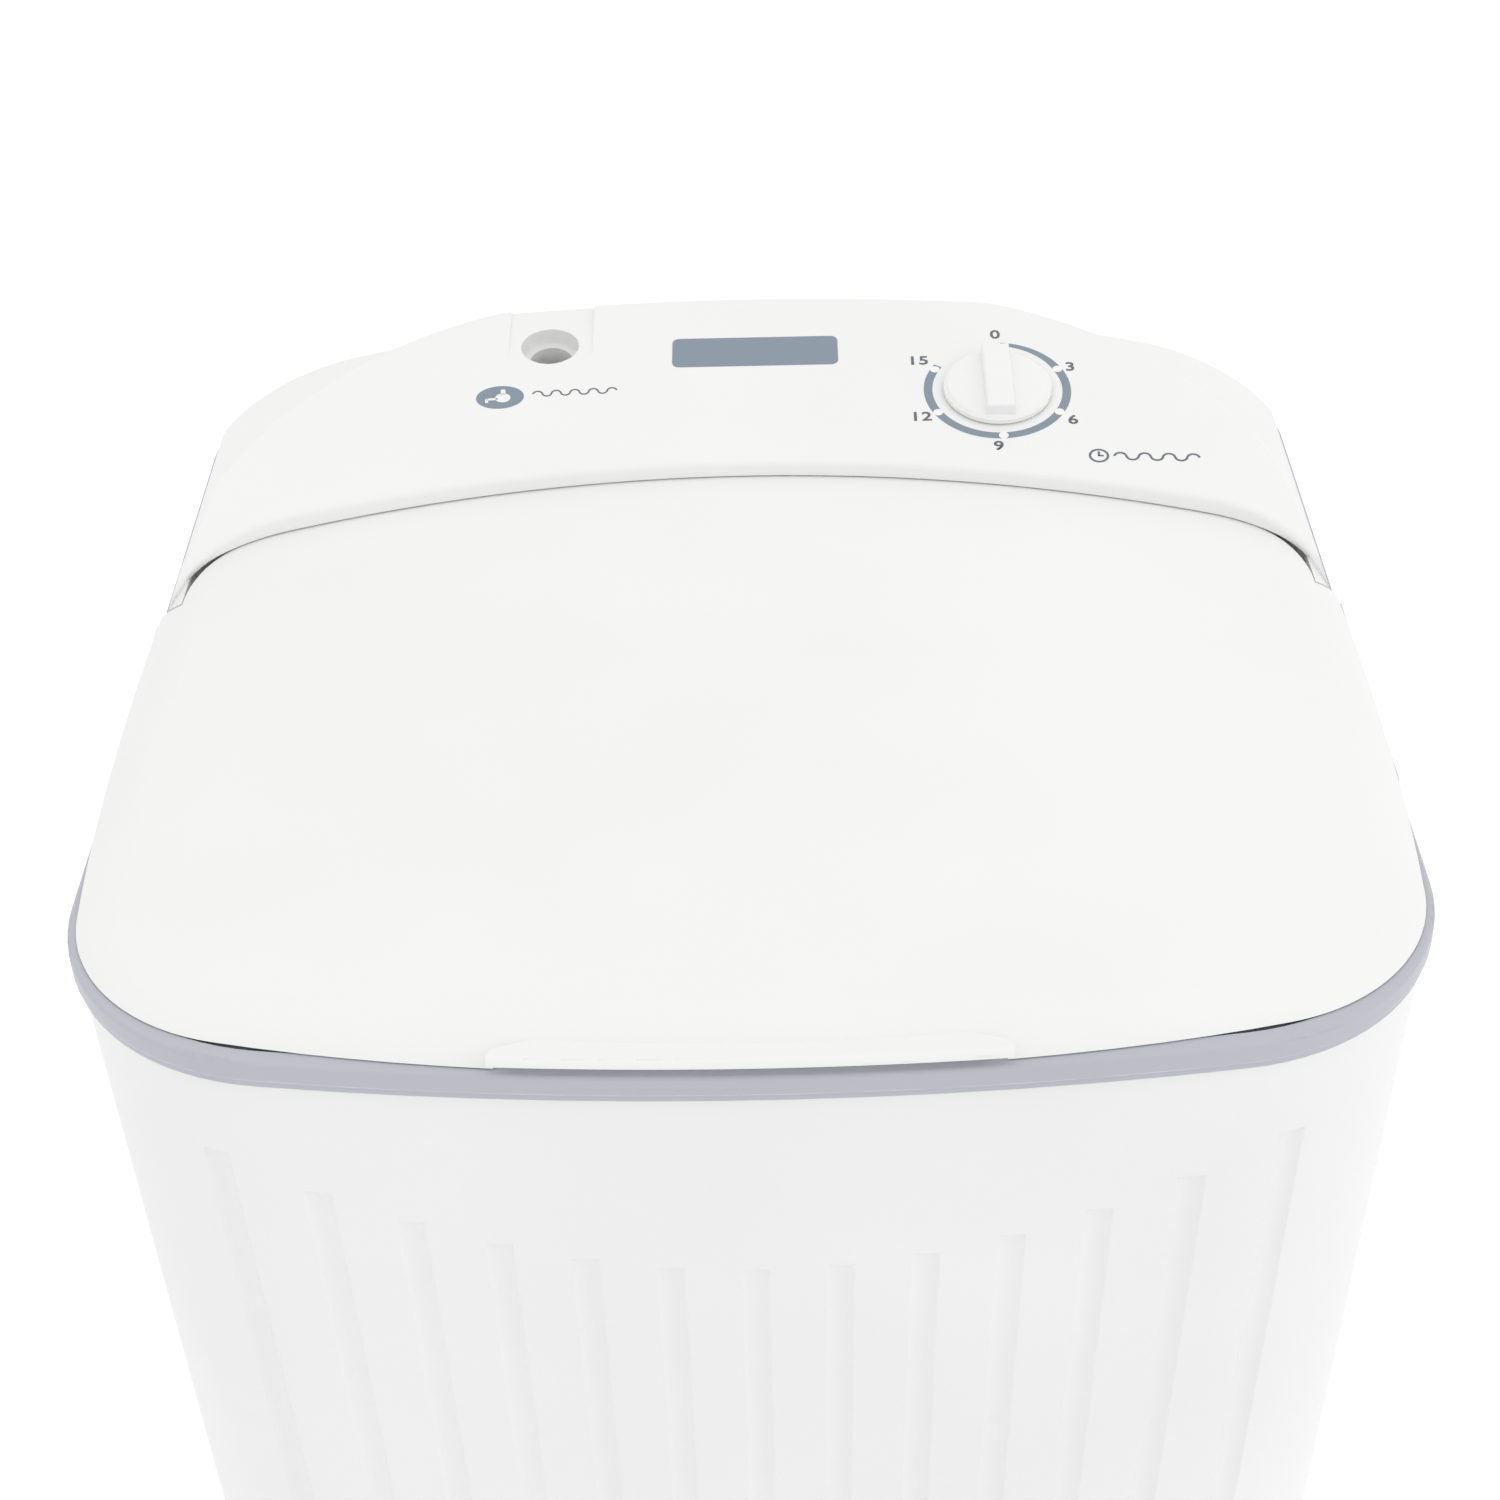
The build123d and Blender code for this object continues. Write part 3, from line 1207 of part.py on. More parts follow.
with BuildPart() as motor_case:
    with Locations((MOTOR_X, MOTOR_Y, MOTOR_BOTTOM)):
        Cylinder(
            MOTOR_RADIUS, MOTOR_TOP - MOTOR_BOTTOM, align=(Align.CENTER, Align.CENTER, Align.MIN)
        )
    fillet(motor_case.edges().filter_by(GeomType.CIRCLE), 6)
    with Locations((MOTOR_X, MOTOR_Y, MOTOR_BOTTOM + 12)):
        Cylinder(
            MOTOR_RADIUS - 4,
            MOTOR_TOP - MOTOR_BOTTOM - 17,
            align=(Align.CENTER, Align.CENTER, Align.MIN),
            mode=Mode.SUBTRACT,
        )
    with Locations((MOTOR_X, MOTOR_Y, MOTOR_BOTTOM)):
        Cylinder(
            MOTOR_SHAFT_RADIUS + RUNNING_FIT,
            40,
            mode=Mode.SUBTRACT,
        )
    with Locations([(x, y, MOTOR_BOTTOM) for x, y in motor_bolts_at]):
        Cylinder(2.53, 20, mode=Mode.SUBTRACT)

motor_case.part.label = "motor_case"
export_step(motor_case.part, "parts/motor_case.step")

with BuildPart() as motor_stator:
    with Locations((MOTOR_X, MOTOR_Y, MOTOR_BOTTOM + 20)):
        Cylinder(MOTOR_RADIUS - 4, 44, align=(Align.CENTER, Align.CENTER, Align.MIN))
        Cylinder(
            31, 44, align=(Align.CENTER, Align.CENTER, Align.MIN), mode=Mode.SUBTRACT
        )

motor_stator.part.label = "motor_stator"
export_step(motor_stator.part, "parts/motor_stator.step")

with BuildPart() as motor_rotor:
    with Locations((MOTOR_X, MOTOR_Y, MOTOR_BOTTOM + 18)):
        Cylinder(30, 48, align=(Align.CENTER, Align.CENTER, Align.MIN))
        Cylinder(
            MOTOR_SHAFT_RADIUS, 48, align=(Align.CENTER, Align.CENTER, Align.MIN), mode=Mode.SUBTRACT
        )

motor_rotor.part.label = "motor_rotor"
export_step(motor_rotor.part, "parts/motor_rotor.step")

with BuildPart() as motor_shaft:
    with Locations((MOTOR_X, MOTOR_Y, PULLEY_BOTTOM - 4)):
        Cylinder(
            MOTOR_SHAFT_RADIUS,
            MOTOR_TOP - 6 - PULLEY_BOTTOM + 4,
            align=(Align.CENTER, Align.CENTER, Align.MIN),
        )

motor_shaft.part.label = "motor_shaft"
export_step(motor_shaft.part, "parts/motor_shaft.step")

with BuildPart() as motor_plate:
    with BuildSketch(Plane.XY.offset(BRACKET_BOTTOM)):
        with Locations((0, 63)):
            RectangleRounded(304, 110, 12)
        with Locations((MOTOR_X, MOTOR_Y)):
            Circle(26, mode=Mode.SUBTRACT)
        with Locations(motor_bolts_at):
            Circle(SCREW_HOLE + 0.6, mode=Mode.SUBTRACT)
        with Locations(BRACKET_POSTS):
            Circle(SCREW_HOLE, mode=Mode.SUBTRACT)
    extrude(amount=BRACKET_THICKNESS)

motor_plate.part.label = "motor_plate"
export_step(motor_plate.part, "parts/motor_plate.step")

with BuildPart() as motor_rubbers:
    with Locations([(x, y, BRACKET_BOTTOM + BRACKET_THICKNESS) for x, y in motor_bolts_at]):
        Cylinder(9, 3, align=(Align.CENTER, Align.CENTER, Align.MIN))
        Cylinder(2.6, 3, align=(Align.CENTER, Align.CENTER, Align.MIN), mode=Mode.SUBTRACT)

motor_rubbers.part.label = "motor_rubbers"
export_step(motor_rubbers.part, "parts/motor_rubbers.step")

with BuildPart() as motor_bolts:
    with Locations([(x, y, BRACKET_BOTTOM) for x, y in motor_bolts_at]):
        Cylinder(5, 3, align=(Align.CENTER, Align.CENTER, Align.MAX))
        Cylinder(2.5, 14, align=(Align.CENTER, Align.CENTER, Align.MIN))

motor_bolts.part.label = "motor_bolts"
export_step(motor_bolts.part, "parts/motor_bolts.step")

with BuildPart() as capacitor:
    with Locations((CAPACITOR_X, CAPACITOR_Y, BRACKET_BOTTOM + BRACKET_THICKNESS)):
        Cylinder(17, 56, align=(Align.CENTER, Align.CENTER, Align.MIN))
    fillet(capacitor.faces().sort_by(Axis.Z)[-1].edges(), 2)

capacitor.part.label = "capacitor"
export_step(capacitor.part, "parts/capacitor.step")

with BuildPart() as capacitor_clip:
    with Locations((CAPACITOR_X, CAPACITOR_Y, BRACKET_BOTTOM + BRACKET_THICKNESS)):
        Cylinder(18.6, 14, align=(Align.CENTER, Align.CENTER, Align.MIN))
        with Locations((27, 0, 0)):
            Box(20, 14, 1.6, align=(Align.CENTER, Align.CENTER, Align.MIN))
        Cylinder(
            17.0, 14, align=(Align.CENTER, Align.CENTER, Align.MIN), mode=Mode.SUBTRACT
        )

capacitor_clip.part.label = "capacitor_clip"
export_step(capacitor_clip.part, "parts/capacitor_clip.step")

# Base pan with its posts, vents and feet
foot_places = {
    "foot_front_left": (-FOOT_X, FOOT_FRONT_Y),
    "foot_front_right": (FOOT_X, FOOT_FRONT_Y),
    "foot_rear_left": (-FOOT_X, FOOT_REAR_Y),
    "foot_rear_right": (FOOT_X, FOOT_REAR_Y),
}
base_floor = BASE_BOTTOM + 3

with BuildPart() as base_pan:
    with BuildSketch(Plane.XY.offset(BASE_BOTTOM)):
        add(cabinet_outline(CABINET_BOTTOM, -1.5))
    extrude(amount=CABINET_BOTTOM - BASE_BOTTOM)
    fillet(base_pan.faces().sort_by(Axis.Z)[0].edges(), 3)
    with BuildSketch(Plane.XY.offset(CABINET_BOTTOM)):
        add(cabinet_outline(CABINET_BOTTOM, CABINET_WALL + 0.4))
    extrude(amount=BASE_WALL_TOP - CABINET_BOTTOM)
    with BuildSketch(Plane.XY.offset(base_floor)):
        add(cabinet_outline(CABINET_BOTTOM, CABINET_WALL + 3.4))
    extrude(amount=BASE_WALL_TOP - base_floor, mode=Mode.SUBTRACT)
    with Locations([(x, y, base_floor) for x, y in BRACKET_POSTS]):
        Cylinder(9, BRACKET_BOTTOM - base_floor, align=(Align.CENTER, Align.CENTER, Align.MIN))
    with Locations([(x, y, BRACKET_BOTTOM) for x, y in BRACKET_POSTS]):
        Cylinder(
            SCREW_RADIUS + 0.03,
            14,
            align=(Align.CENTER, Align.CENTER, Align.MAX),
            mode=Mode.SUBTRACT,
        )
    with BuildSketch(Plane.XY.offset(BASE_BOTTOM)):
        with GridLocations(14, 78, 11, 2):
            SlotOverall(64, 6, rotation=90)
    extrude(amount=5, mode=Mode.SUBTRACT)
    with Locations([(x, y, BASE_BOTTOM) for x, y in foot_places.values()]):
        Cylinder(5.03, 10, mode=Mode.SUBTRACT)
    for row in base_screw_rows:
        with Locations((0, row, base_screw_z)):
            Cylinder(
                SCREW_RADIUS + 0.03, 2 * CABINET_HALF, rotation=(0, 90, 0), mode=Mode.SUBTRACT
            )

base_pan.part.label = "base_pan"
export_step(base_pan.part, "parts/base_pan.step")

for foot_name, (foot_x, foot_y) in foot_places.items():
    with BuildPart() as foot:
        with BuildSketch(Plane.XY):
            with Locations((foot_x, foot_y)):
                Circle(FOOT_RADIUS - 2)
        extrude(amount=BASE_BOTTOM, taper=-6)
        fillet(foot.faces().sort_by(Axis.Z)[0].edges(), 1.0)
        with Locations((foot_x, foot_y, BASE_BOTTOM)):
            Cylinder(5, 4.5, align=(Align.CENTER, Align.CENTER, Align.MIN))
    foot.part.label = foot_name
    export_step(foot.part, f"parts/{foot_name}.step")

with BuildPart() as plate_screws:
    with Locations([(x, y, BRACKET_BOTTOM + BRACKET_THICKNESS) for x, y in BRACKET_POSTS]):
        Cylinder(SCREW_HEAD, 2.4, align=(Align.CENTER, Align.CENTER, Align.MIN))
        Cylinder(SCREW_RADIUS, 14, align=(Align.CENTER, Align.CENTER, Align.MAX))

plate_screws.part.label = "plate_screws"
export_step(plate_screws.part, "parts/plate_screws.step")

base_screw_x = cabinet_side(base_screw_z) + 0.3
with BuildPart() as base_screws:
    for side in (-1, 1):
        for row in base_screw_rows:
            with Locations((side * base_screw_x, row, base_screw_z)):
                Cylinder(
                    SCREW_HEAD,
                    2.2,
                    rotation=(0, side * 90, 0),
                    align=(Align.CENTER, Align.CENTER, Align.MIN),
                )
                Cylinder(
                    SCREW_RADIUS,
                    12,
                    rotation=(0, side * 90, 0),
                    align=(Align.CENTER, Align.CENTER, Align.MAX),
                )

base_screws.part.label = "base_screws"
export_step(base_screws.part, "parts/base_screws.step")

# Rear service cover with vents, and its screws
with BuildPart() as rear_cover:
    with BuildSketch(rear_plane):
        RectangleRounded(COVER_WIDTH + 2 * COVER_LAP, COVER_HEIGHT + 2 * COVER_LAP, 10)
    extrude(amount=COVER_THICKNESS)
    with BuildSketch(rear_plane):
        RectangleRounded(COVER_WIDTH - 1, COVER_HEIGHT - 1, 7.5)
        RectangleRounded(COVER_WIDTH - 5, COVER_HEIGHT - 5, 5.5, mode=Mode.SUBTRACT)
    extrude(amount=-2 * CABINET_WALL)
    with BuildSketch(rear_plane):
        with GridLocations(52, 13, 2, 8):
            SlotOverall(44, 5)
    extrude(amount=COVER_THICKNESS, mode=Mode.SUBTRACT)
    with BuildSketch(rear_plane):
        with GridLocations(COVER_WIDTH + COVER_LAP, COVER_HEIGHT - 2 * COVER_LAP, 2, 2):
            Circle(SCREW_HOLE)
    extrude(amount=COVER_THICKNESS, mode=Mode.SUBTRACT)

rear_cover.part.label = "rear_cover"
export_step(rear_cover.part, "parts/rear_cover.step")

with BuildPart() as rear_cover_screws:
    with Locations(rear_plane.offset(COVER_THICKNESS)):
        with GridLocations(COVER_WIDTH + COVER_LAP, COVER_HEIGHT - 2 * COVER_LAP, 2, 2):
            Cylinder(SCREW_HEAD, 2.0, align=(Align.CENTER, Align.CENTER, Align.MIN))
            Cylinder(SCREW_RADIUS, 9, align=(Align.CENTER, Align.CENTER, Align.MAX))

rear_cover_screws.part.label = "rear_cover_screws"
export_step(rear_cover_screws.part, "parts/rear_cover_screws.step")

# Cord gland in the rear wall
with BuildPart() as cord_gland:
    with Locations(gland_plane):
        Cylinder(GLAND_BORE + 7, 3, align=(Align.CENTER, Align.CENTER, Align.MIN))
        Cylinder(GLAND_BORE + 3.6, 14, align=(Align.CENTER, Align.CENTER, Align.MAX))
        with Locations((0, 0, 3)):
            Cone(
                GLAND_BORE + 4, GLAND_BORE + 2, 5, align=(Align.CENTER, Align.CENTER, Align.MIN)
            )
        Cylinder(GLAND_BORE, 60, mode=Mode.SUBTRACT)

cord_gland.part.label = "cord_gland"
export_step(cord_gland.part, "parts/cord_gland.step")

# Wires from the timer down the rear wall to the motor, held by two clips
WIRE_RADIUS = 3.5
WIRE_WALL_Y = 168.0
wire_start = on_panel(DIAL_X, DIAL_Y, TIMER_TOP - TIMER_DEPTH)
wire_bend = wire_start.offset(-11).origin
wire_points = [
    wire_start.origin,
    wire_bend,
    (DIAL_X, wire_bend.Y, 590),
    (DIAL_X, WIRE_WALL_Y, 550),
    (DIAL_X, WIRE_WALL_Y, 250),
    (DIAL_X, 140, 212),
    (DIAL_X, MOTOR_Y + 30, 212),
    (DIAL_X, MOTOR_Y + 30, MOTOR_TOP),
]
with BuildPart() as wire_harness:
    with BuildLine():
        FilletPolyline(*wire_points, radius=[14, 18, 30, 22, 16, 7])
    with BuildSketch(wire_start):
        Circle(WIRE_RADIUS)
    sweep()

wire_harness.part.label = "wire_harness"
export_step(wire_harness.part, "parts/wire_harness.step")

with BuildPart() as wire_clips:
    for clip_z in (300.0, 480.0):
        wall_y = cabinet_back(clip_z) - CABINET_WALL - 0.3
        with Locations((DIAL_X, WIRE_WALL_Y, clip_z)):
            Cylinder(WIRE_RADIUS + 2, 8)
        with Locations((DIAL_X, (WIRE_WALL_Y + wall_y) / 2, clip_z)):
            Box(6, wall_y - WIRE_WALL_Y, 8)
        with Locations((DIAL_X, WIRE_WALL_Y, clip_z)):
            Cylinder(WIRE_RADIUS, 20, mode=Mode.SUBTRACT)

wire_clips.part.label = "wire_clips"
export_step(wire_clips.part, "parts/wire_clips.step")
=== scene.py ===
import json
import math

import bpy
from bpy.props import FloatProperty, FloatVectorProperty, IntProperty, PointerProperty
from bpy.types import Operator, Panel, PropertyGroup
from mathutils import Matrix, Vector


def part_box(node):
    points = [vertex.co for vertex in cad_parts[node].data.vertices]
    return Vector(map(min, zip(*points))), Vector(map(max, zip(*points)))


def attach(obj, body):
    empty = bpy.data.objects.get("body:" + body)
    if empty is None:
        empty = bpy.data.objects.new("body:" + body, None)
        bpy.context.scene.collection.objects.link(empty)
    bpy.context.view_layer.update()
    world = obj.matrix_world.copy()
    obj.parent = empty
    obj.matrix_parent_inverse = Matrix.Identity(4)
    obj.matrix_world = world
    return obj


bl_info = {
    "name": "Top load washing machine",
    "version": (1, 0, 0),
    "blender": (4, 5, 0),
    "location": "3D View > Sidebar > Washer",
    "description": "Finishes, panel prints, trim and stage of a small top load washing machine",
    "category": "Object",
}

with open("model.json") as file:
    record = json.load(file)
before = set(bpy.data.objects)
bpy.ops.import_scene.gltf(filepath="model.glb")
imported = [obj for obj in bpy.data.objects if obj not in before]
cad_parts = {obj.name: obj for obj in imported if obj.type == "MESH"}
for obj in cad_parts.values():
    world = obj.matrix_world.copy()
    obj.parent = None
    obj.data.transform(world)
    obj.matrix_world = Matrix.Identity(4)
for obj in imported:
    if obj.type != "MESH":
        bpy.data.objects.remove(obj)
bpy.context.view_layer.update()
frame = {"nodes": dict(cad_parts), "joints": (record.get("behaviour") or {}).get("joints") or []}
MM = 0.001

# The panel's plane comes from the timer's joint: its place and its axis
TIMER = next(j for j in frame["joints"] if j["name"] == "timer_turn")
DIAL_CENTRE = Vector(TIMER["pos_m"])
PANEL_NORMAL = -Vector(TIMER["axis"]).normalized()
PANEL_RISE = PANEL_NORMAL.cross(Vector((1, 0, 0)))

# A print is sunk by half a lift; ink and the ink printed over it are this many lifts thick,
# and points closer than the weld become one
INK = 1.5
OVERPRINT = 2.2
WELD = 0.001 * MM

# The dial's ring runs clockwise from the top: its start, its length, where it has its full width,
# and the share of that width at its start
RING_START = math.radians(6)
RING_SWEEP = math.radians(298)
RING_FULL_AT = math.radians(66)
RING_THIN = 0.5
RING_STEPS = 120

# Clockwise angles of the dial's dots from the top in degrees, and plan places of its numbers
DOT_ANGLES = (64.3, 121.0, 178.6, 241.7, 298.6)
NUMBER_SPOTS = (
    (93.1 * MM, 171.6 * MM),
    (119.4 * MM, 152.7 * MM),
    (118.0 * MM, 123.8 * MM),
    (90.4 * MM, 110.8 * MM),
    (63.4 * MM, 127.1 * MM),
    (63.8 * MM, 157.8 * MM),
)

# Digits: their height beside the font's size, and their added weight, spacing and width
DIGIT_SHARE = 0.69
DIGIT_WEIGHT = 0.12 * MM
DIGIT_SPACING = 1.08
DIGIT_STRETCH = 1.14

# Bare plate: its plan place, width, height and corner
PLATE_SPOT = (3.7 * MM, 165 * MM)
PLATE_WIDTH = 61.4 * MM
PLATE_HEIGHT = 16.4 * MM
PLATE_CORNER = 2.6 * MM
CORNER_STEPS = 6

# Badge with a tap beside the inlet; each bar of the tap has its width, height and middle
BADGE_SPOT = (-89.8 * MM, 142.4 * MM)
BADGE_TURN = math.radians(4)
BADGE_RADIUS = 8.75 * MM
BADGE_SQUASH = 0.72
BADGE_STEPS = 96
TAP_BODY_RADIUS = 2.8 * MM
TAP_BODY_MIDDLE = (1.0 * MM, -0.5 * MM)
TAP_BODY_SQUASH = 0.88
TAP_HANDLE = (1.7 * MM, 3.2 * MM, 1.2 * MM, 2.6 * MM)
TAP_SPOUT = (4.4 * MM, 1.1 * MM, -2.9 * MM, -0.9 * MM)
TAP_NOZZLE = (1.1 * MM, 2.4 * MM, -4.9 * MM, -1.6 * MM)
TAP_CORNER = 0.4 * MM

# Waves are arcs that reach this far to each side of their middle
WAVE_BEND = math.radians(80)
WAVE_STEPS = 14
STREAM_SPOT = (-62.5 * MM, 144.5 * MM)
STREAM_TURN = math.radians(2.5)
STREAM_PITCH = 3.4 * MM
STREAM_HUMPS = 9
STREAM_STROKE = 0.62 * MM

# Clock and wave below the dial; each hand has its width, height and middle
CLOCK_SPOT = (142.5 * MM, 103.7 * MM)
CLOCK_TURN = math.radians(-3.5)
CLOCK_MIDDLE = -17 * MM
CLOCK_RADIUS = 3.6 * MM
CLOCK_STROKE = 0.8 * MM
CLOCK_STEPS = 64
LONG_HAND = (0.75 * MM, 2.5 * MM, CLOCK_MIDDLE, 1.0 * MM)
SHORT_HAND = (2.0 * MM, 0.75 * MM, -16.3 * MM, 0)
CLOCK_WAVE_PITCH = 4.3 * MM
CLOCK_WAVE_HUMPS = 7
CLOCK_WAVE_MIDDLE = 3.5 * MM

# Plastic's grain and refraction, metal's streaks
GRAIN_DEPTH = 0.2 * MM
PLASTIC_IOR = 1.46
STREAK_DEPTH = 0.3 * MM
STREAK_STRENGTH = 0.08

# The rim's parting line, drawn as a painted highlight: its width, and its brightness beside the rim's
SEAM_GLINT_WIDTH = 0.35 * MM
SEAM_GLINT_GAIN = 1.35

# Colours of the works and of the white ink, in linear light
RUBBER_BLACK = (0.035, 0.035, 0.037)
DARK_GREY = (0.06, 0.06, 0.065)
MOTOR_GREY = (0.13, 0.14, 0.15)
ZINC = (0.62, 0.62, 0.6)
ZINC_TARNISH = (0.36, 0.34, 0.3)
CORE_STEEL = (0.3, 0.29, 0.28)
CORE_TARNISH = (0.16, 0.12, 0.1)
ALUMINIUM = (0.6, 0.6, 0.61)
ALUMINIUM_TARNISH = (0.4, 0.4, 0.4)
BRONZE = (0.55, 0.38, 0.18)
BRONZE_TARNISH = (0.25, 0.17, 0.08)
INK_WHITE = (0.9, 0.9, 0.9)

# Stage, in metres apart from the film: each lamp's place, aim and width, the floor, the camera
TOP_LAMP = ((0.0, 0.1, 2.4), (0, 0, 0), 2.6)
SIDE_LAMP = ((1.7, -0.9, 1.5), (0, 0, 0.5), 1.4)
FLOOR_WIDTH = 12
FLOOR_WHITE = (0.93, 0.93, 0.93, 1)
FLOOR_ROUGHNESS = 0.7
FLOOR_GLOW = (0.25, 0.25, 0.25, 1)
FILM_WIDTH_MM = 36.0
CLIP_START = 0.01

# Places of the mix node's colour sockets
MIX_FACTOR = 0
MIX_FIRST = 6
MIX_SECOND = 7
MIX_RESULT = 2


class WasherColours(PropertyGroup):
    """Colours of the finishes, in linear light"""

    shell_white: FloatVectorProperty(
        name="Shell white", description="Lid, panel and knob", subtype="COLOR",
        default=(0.905, 0.905, 0.9), min=0, max=1,
    )
    cabinet_white: FloatVectorProperty(
        name="Cabinet white", description="Cabinet walls", subtype="COLOR",
        default=(0.9, 0.9, 0.9), min=0, max=1,
    )
    tub_white: FloatVectorProperty(
        name="Tub white", description="Wash tub and chute", subtype="COLOR",
        default=(0.84, 0.85, 0.86), min=0, max=1,
    )
    rim_grey: FloatVectorProperty(
        name="Rim grey", description="Rim frame and side grips", subtype="COLOR",
        default=(0.506, 0.513, 0.566), min=0, max=1,
    )
    pulsator_blue: FloatVectorProperty(
        name="Pulsator blue-grey", description="Pulsator", subtype="COLOR",
        default=(0.42, 0.5, 0.62), min=0, max=1,
    )
    base_grey: FloatVectorProperty(
        name="Base grey", description="Base pan, rear cover and drain", subtype="COLOR",
        default=(0.33, 0.34, 0.37), min=0, max=1,
    )
    print_blue: FloatVectorProperty(
        name="Print blue-grey", description="Ring, badge and plate on the panel", subtype="COLOR",
        default=(0.231, 0.286, 0.346), min=0, max=1,
    )
    print_grey: FloatVectorProperty(
        name="Print grey", description="Numbers and pictograms on the panel", subtype="COLOR",
        default=(0.14, 0.15, 0.168), min=0, max=1,
    )


class WasherSizes(PropertyGroup):
    """Sizes of the prints and trim"""

    print_lift: FloatProperty(
        name="Print lift", description="How far a print stands off the panel",
        default=0.08 * MM, unit="LENGTH", min=0,
    )
    ring_outer: FloatProperty(
        name="Dial ring radius", description="Outer radius of the dial ring",
        default=26.8 * MM, unit="LENGTH", min=0,
    )
    ring_width: FloatProperty(
        name="Dial ring width", description="Width of the dial ring beyond its thin start",
        default=3.1 * MM, unit="LENGTH", min=0,
    )
    dot_radius: FloatProperty(
        name="Dial dot radius", description="Radius of the white dots on the dial ring",
        default=1.75 * MM, unit="LENGTH", min=0,
    )
    digit_height: FloatProperty(
        name="Digit height", description="Height of the dial's numbers",
        default=4.6 * MM, unit="LENGTH", min=0,
    )
    minutes_step: IntProperty(
        name="Minutes step", description="Minutes between two numbers of the dial",
        default=3, min=1, max=10,
    )
    rim_step: FloatProperty(
        name="Rim step", description="Height of the rim's upper band, down to its parting line",
        default=6.3 * MM, unit="LENGTH", min=0,
    )


class WasherStage(PropertyGroup):
    """Camera and light"""

    lens: FloatProperty(
        name="Lens", description="Focal length of the camera in millimetres", default=67.66, min=1
    )
    place: FloatVectorProperty(
        name="Place", description="Place of the camera", subtype="XYZ", unit="LENGTH",
        default=(0.00885, -0.7773, 1.1409),
    )
    pitch: FloatProperty(
        name="Pitch", description="How far the camera looks down",
        default=math.radians(34.901), subtype="ANGLE",
    )
    yaw: FloatProperty(
        name="Yaw", description="How far the camera turns to its left",
        default=math.radians(0.6608), subtype="ANGLE",
    )
    roll: FloatProperty(
        name="Roll", description="How far the camera is turned about its view",
        default=math.radians(-1.495), subtype="ANGLE",
    )
    sky_level: FloatProperty(
        name="Sky level", description="Strength of the soft light from all round",
        default=0.945, min=0,
    )
    top_level: FloatProperty(
        name="Top lamp", description="Power of the wide lamp above in watts", default=2.0, min=0
    )
    side_level: FloatProperty(
        name="Side lamp", description="Power of the lamp at the right in watts", default=3.0, min=0
    )


def colours():
    return bpy.context.scene.washer_colours


def sizes():
    return bpy.context.scene.washer_sizes


# Modelling helpers


def activate(*pieces):
    """Select these pieces only, with the first one active."""
    bpy.ops.object.select_all(action="DESELECT")
    for piece in pieces:
        piece.select_set(True)
    bpy.context.view_layer.objects.active = pieces[0]


def apply_place():
    bpy.ops.object.transform_apply(location=True, rotation=True, scale=True)


def panel_place(x, y, turn=0.0):
    """Matrix that lays a flat print on the panel over plan point (x, y), turned in its plane."""
    along = (y - DIAL_CENTRE.y) / PANEL_RISE.y
    spot = DIAL_CENTRE + Vector((x - DIAL_CENTRE.x, 0, 0)) + PANEL_RISE * along
    spot -= PANEL_NORMAL * (sizes().print_lift / 2)
    lie = Matrix((Vector((1, 0, 0)), PANEL_RISE, PANEL_NORMAL)).transposed().to_4x4()
    return Matrix.Translation(spot) @ lie @ Matrix.Rotation(turn, 4, "Z")


def settle(piece, name, body, material, place):
    """Name a finished piece, put its place into its mesh, and let it ride on a body."""
    activate(piece)
    piece.matrix_world = place @ piece.matrix_world
    apply_place()
    piece.name = name
    piece.data.name = name
    piece.data.materials.clear()
    piece.data.materials.append(material)
    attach(piece, body)


def join(pieces):
    """Join several pieces into the first one."""
    activate(*pieces)
    bpy.ops.object.join()
    return pieces[0]


def thicken(piece, lifts):
    """Extrude a flat piece upwards into a thin print, so many lifts thick."""
    depth = sizes().print_lift * lifts
    activate(piece)
    bpy.ops.object.mode_set(mode="EDIT")
    bpy.ops.mesh.select_all(action="SELECT")
    bpy.ops.mesh.remove_doubles(threshold=WELD)
    bpy.ops.mesh.extrude_region_move(TRANSFORM_OT_translate={"value": (0, 0, depth)})
    bpy.ops.mesh.select_all(action="SELECT")
    bpy.ops.mesh.normals_make_consistent(inside=False)
    bpy.ops.object.mode_set(mode="OBJECT")
    return piece


def flat_disc(radius, x=0.0, y=0.0, stretch=1.0, vertices=48):
    """Filled disc, or an ellipse where stretch isn't 1."""
    bpy.ops.mesh.primitive_circle_add(
        radius=radius, vertices=vertices, fill_type="NGON", location=(x, y, 0)
    )
    disc = bpy.context.object
    disc.scale.y = stretch
    apply_place()
    return disc


def flat_bar(width, height, x=0.0, y=0.0, corner=0.0):
    """Filled rectangle, its corners rounded where corner is above zero."""
    bpy.ops.mesh.primitive_plane_add(size=1, location=(x, y, 0))
    bar = bpy.context.object
    bar.scale = (width, height, 1)
    apply_place()
    if corner > 0:
        bpy.ops.object.mode_set(mode="EDIT")
        bpy.ops.mesh.select_all(action="SELECT")
        bpy.ops.mesh.bevel(
            offset=corner, offset_type="OFFSET", segments=CORNER_STEPS, affect="VERTICES"
        )
        bpy.ops.object.mode_set(mode="OBJECT")
    return bar


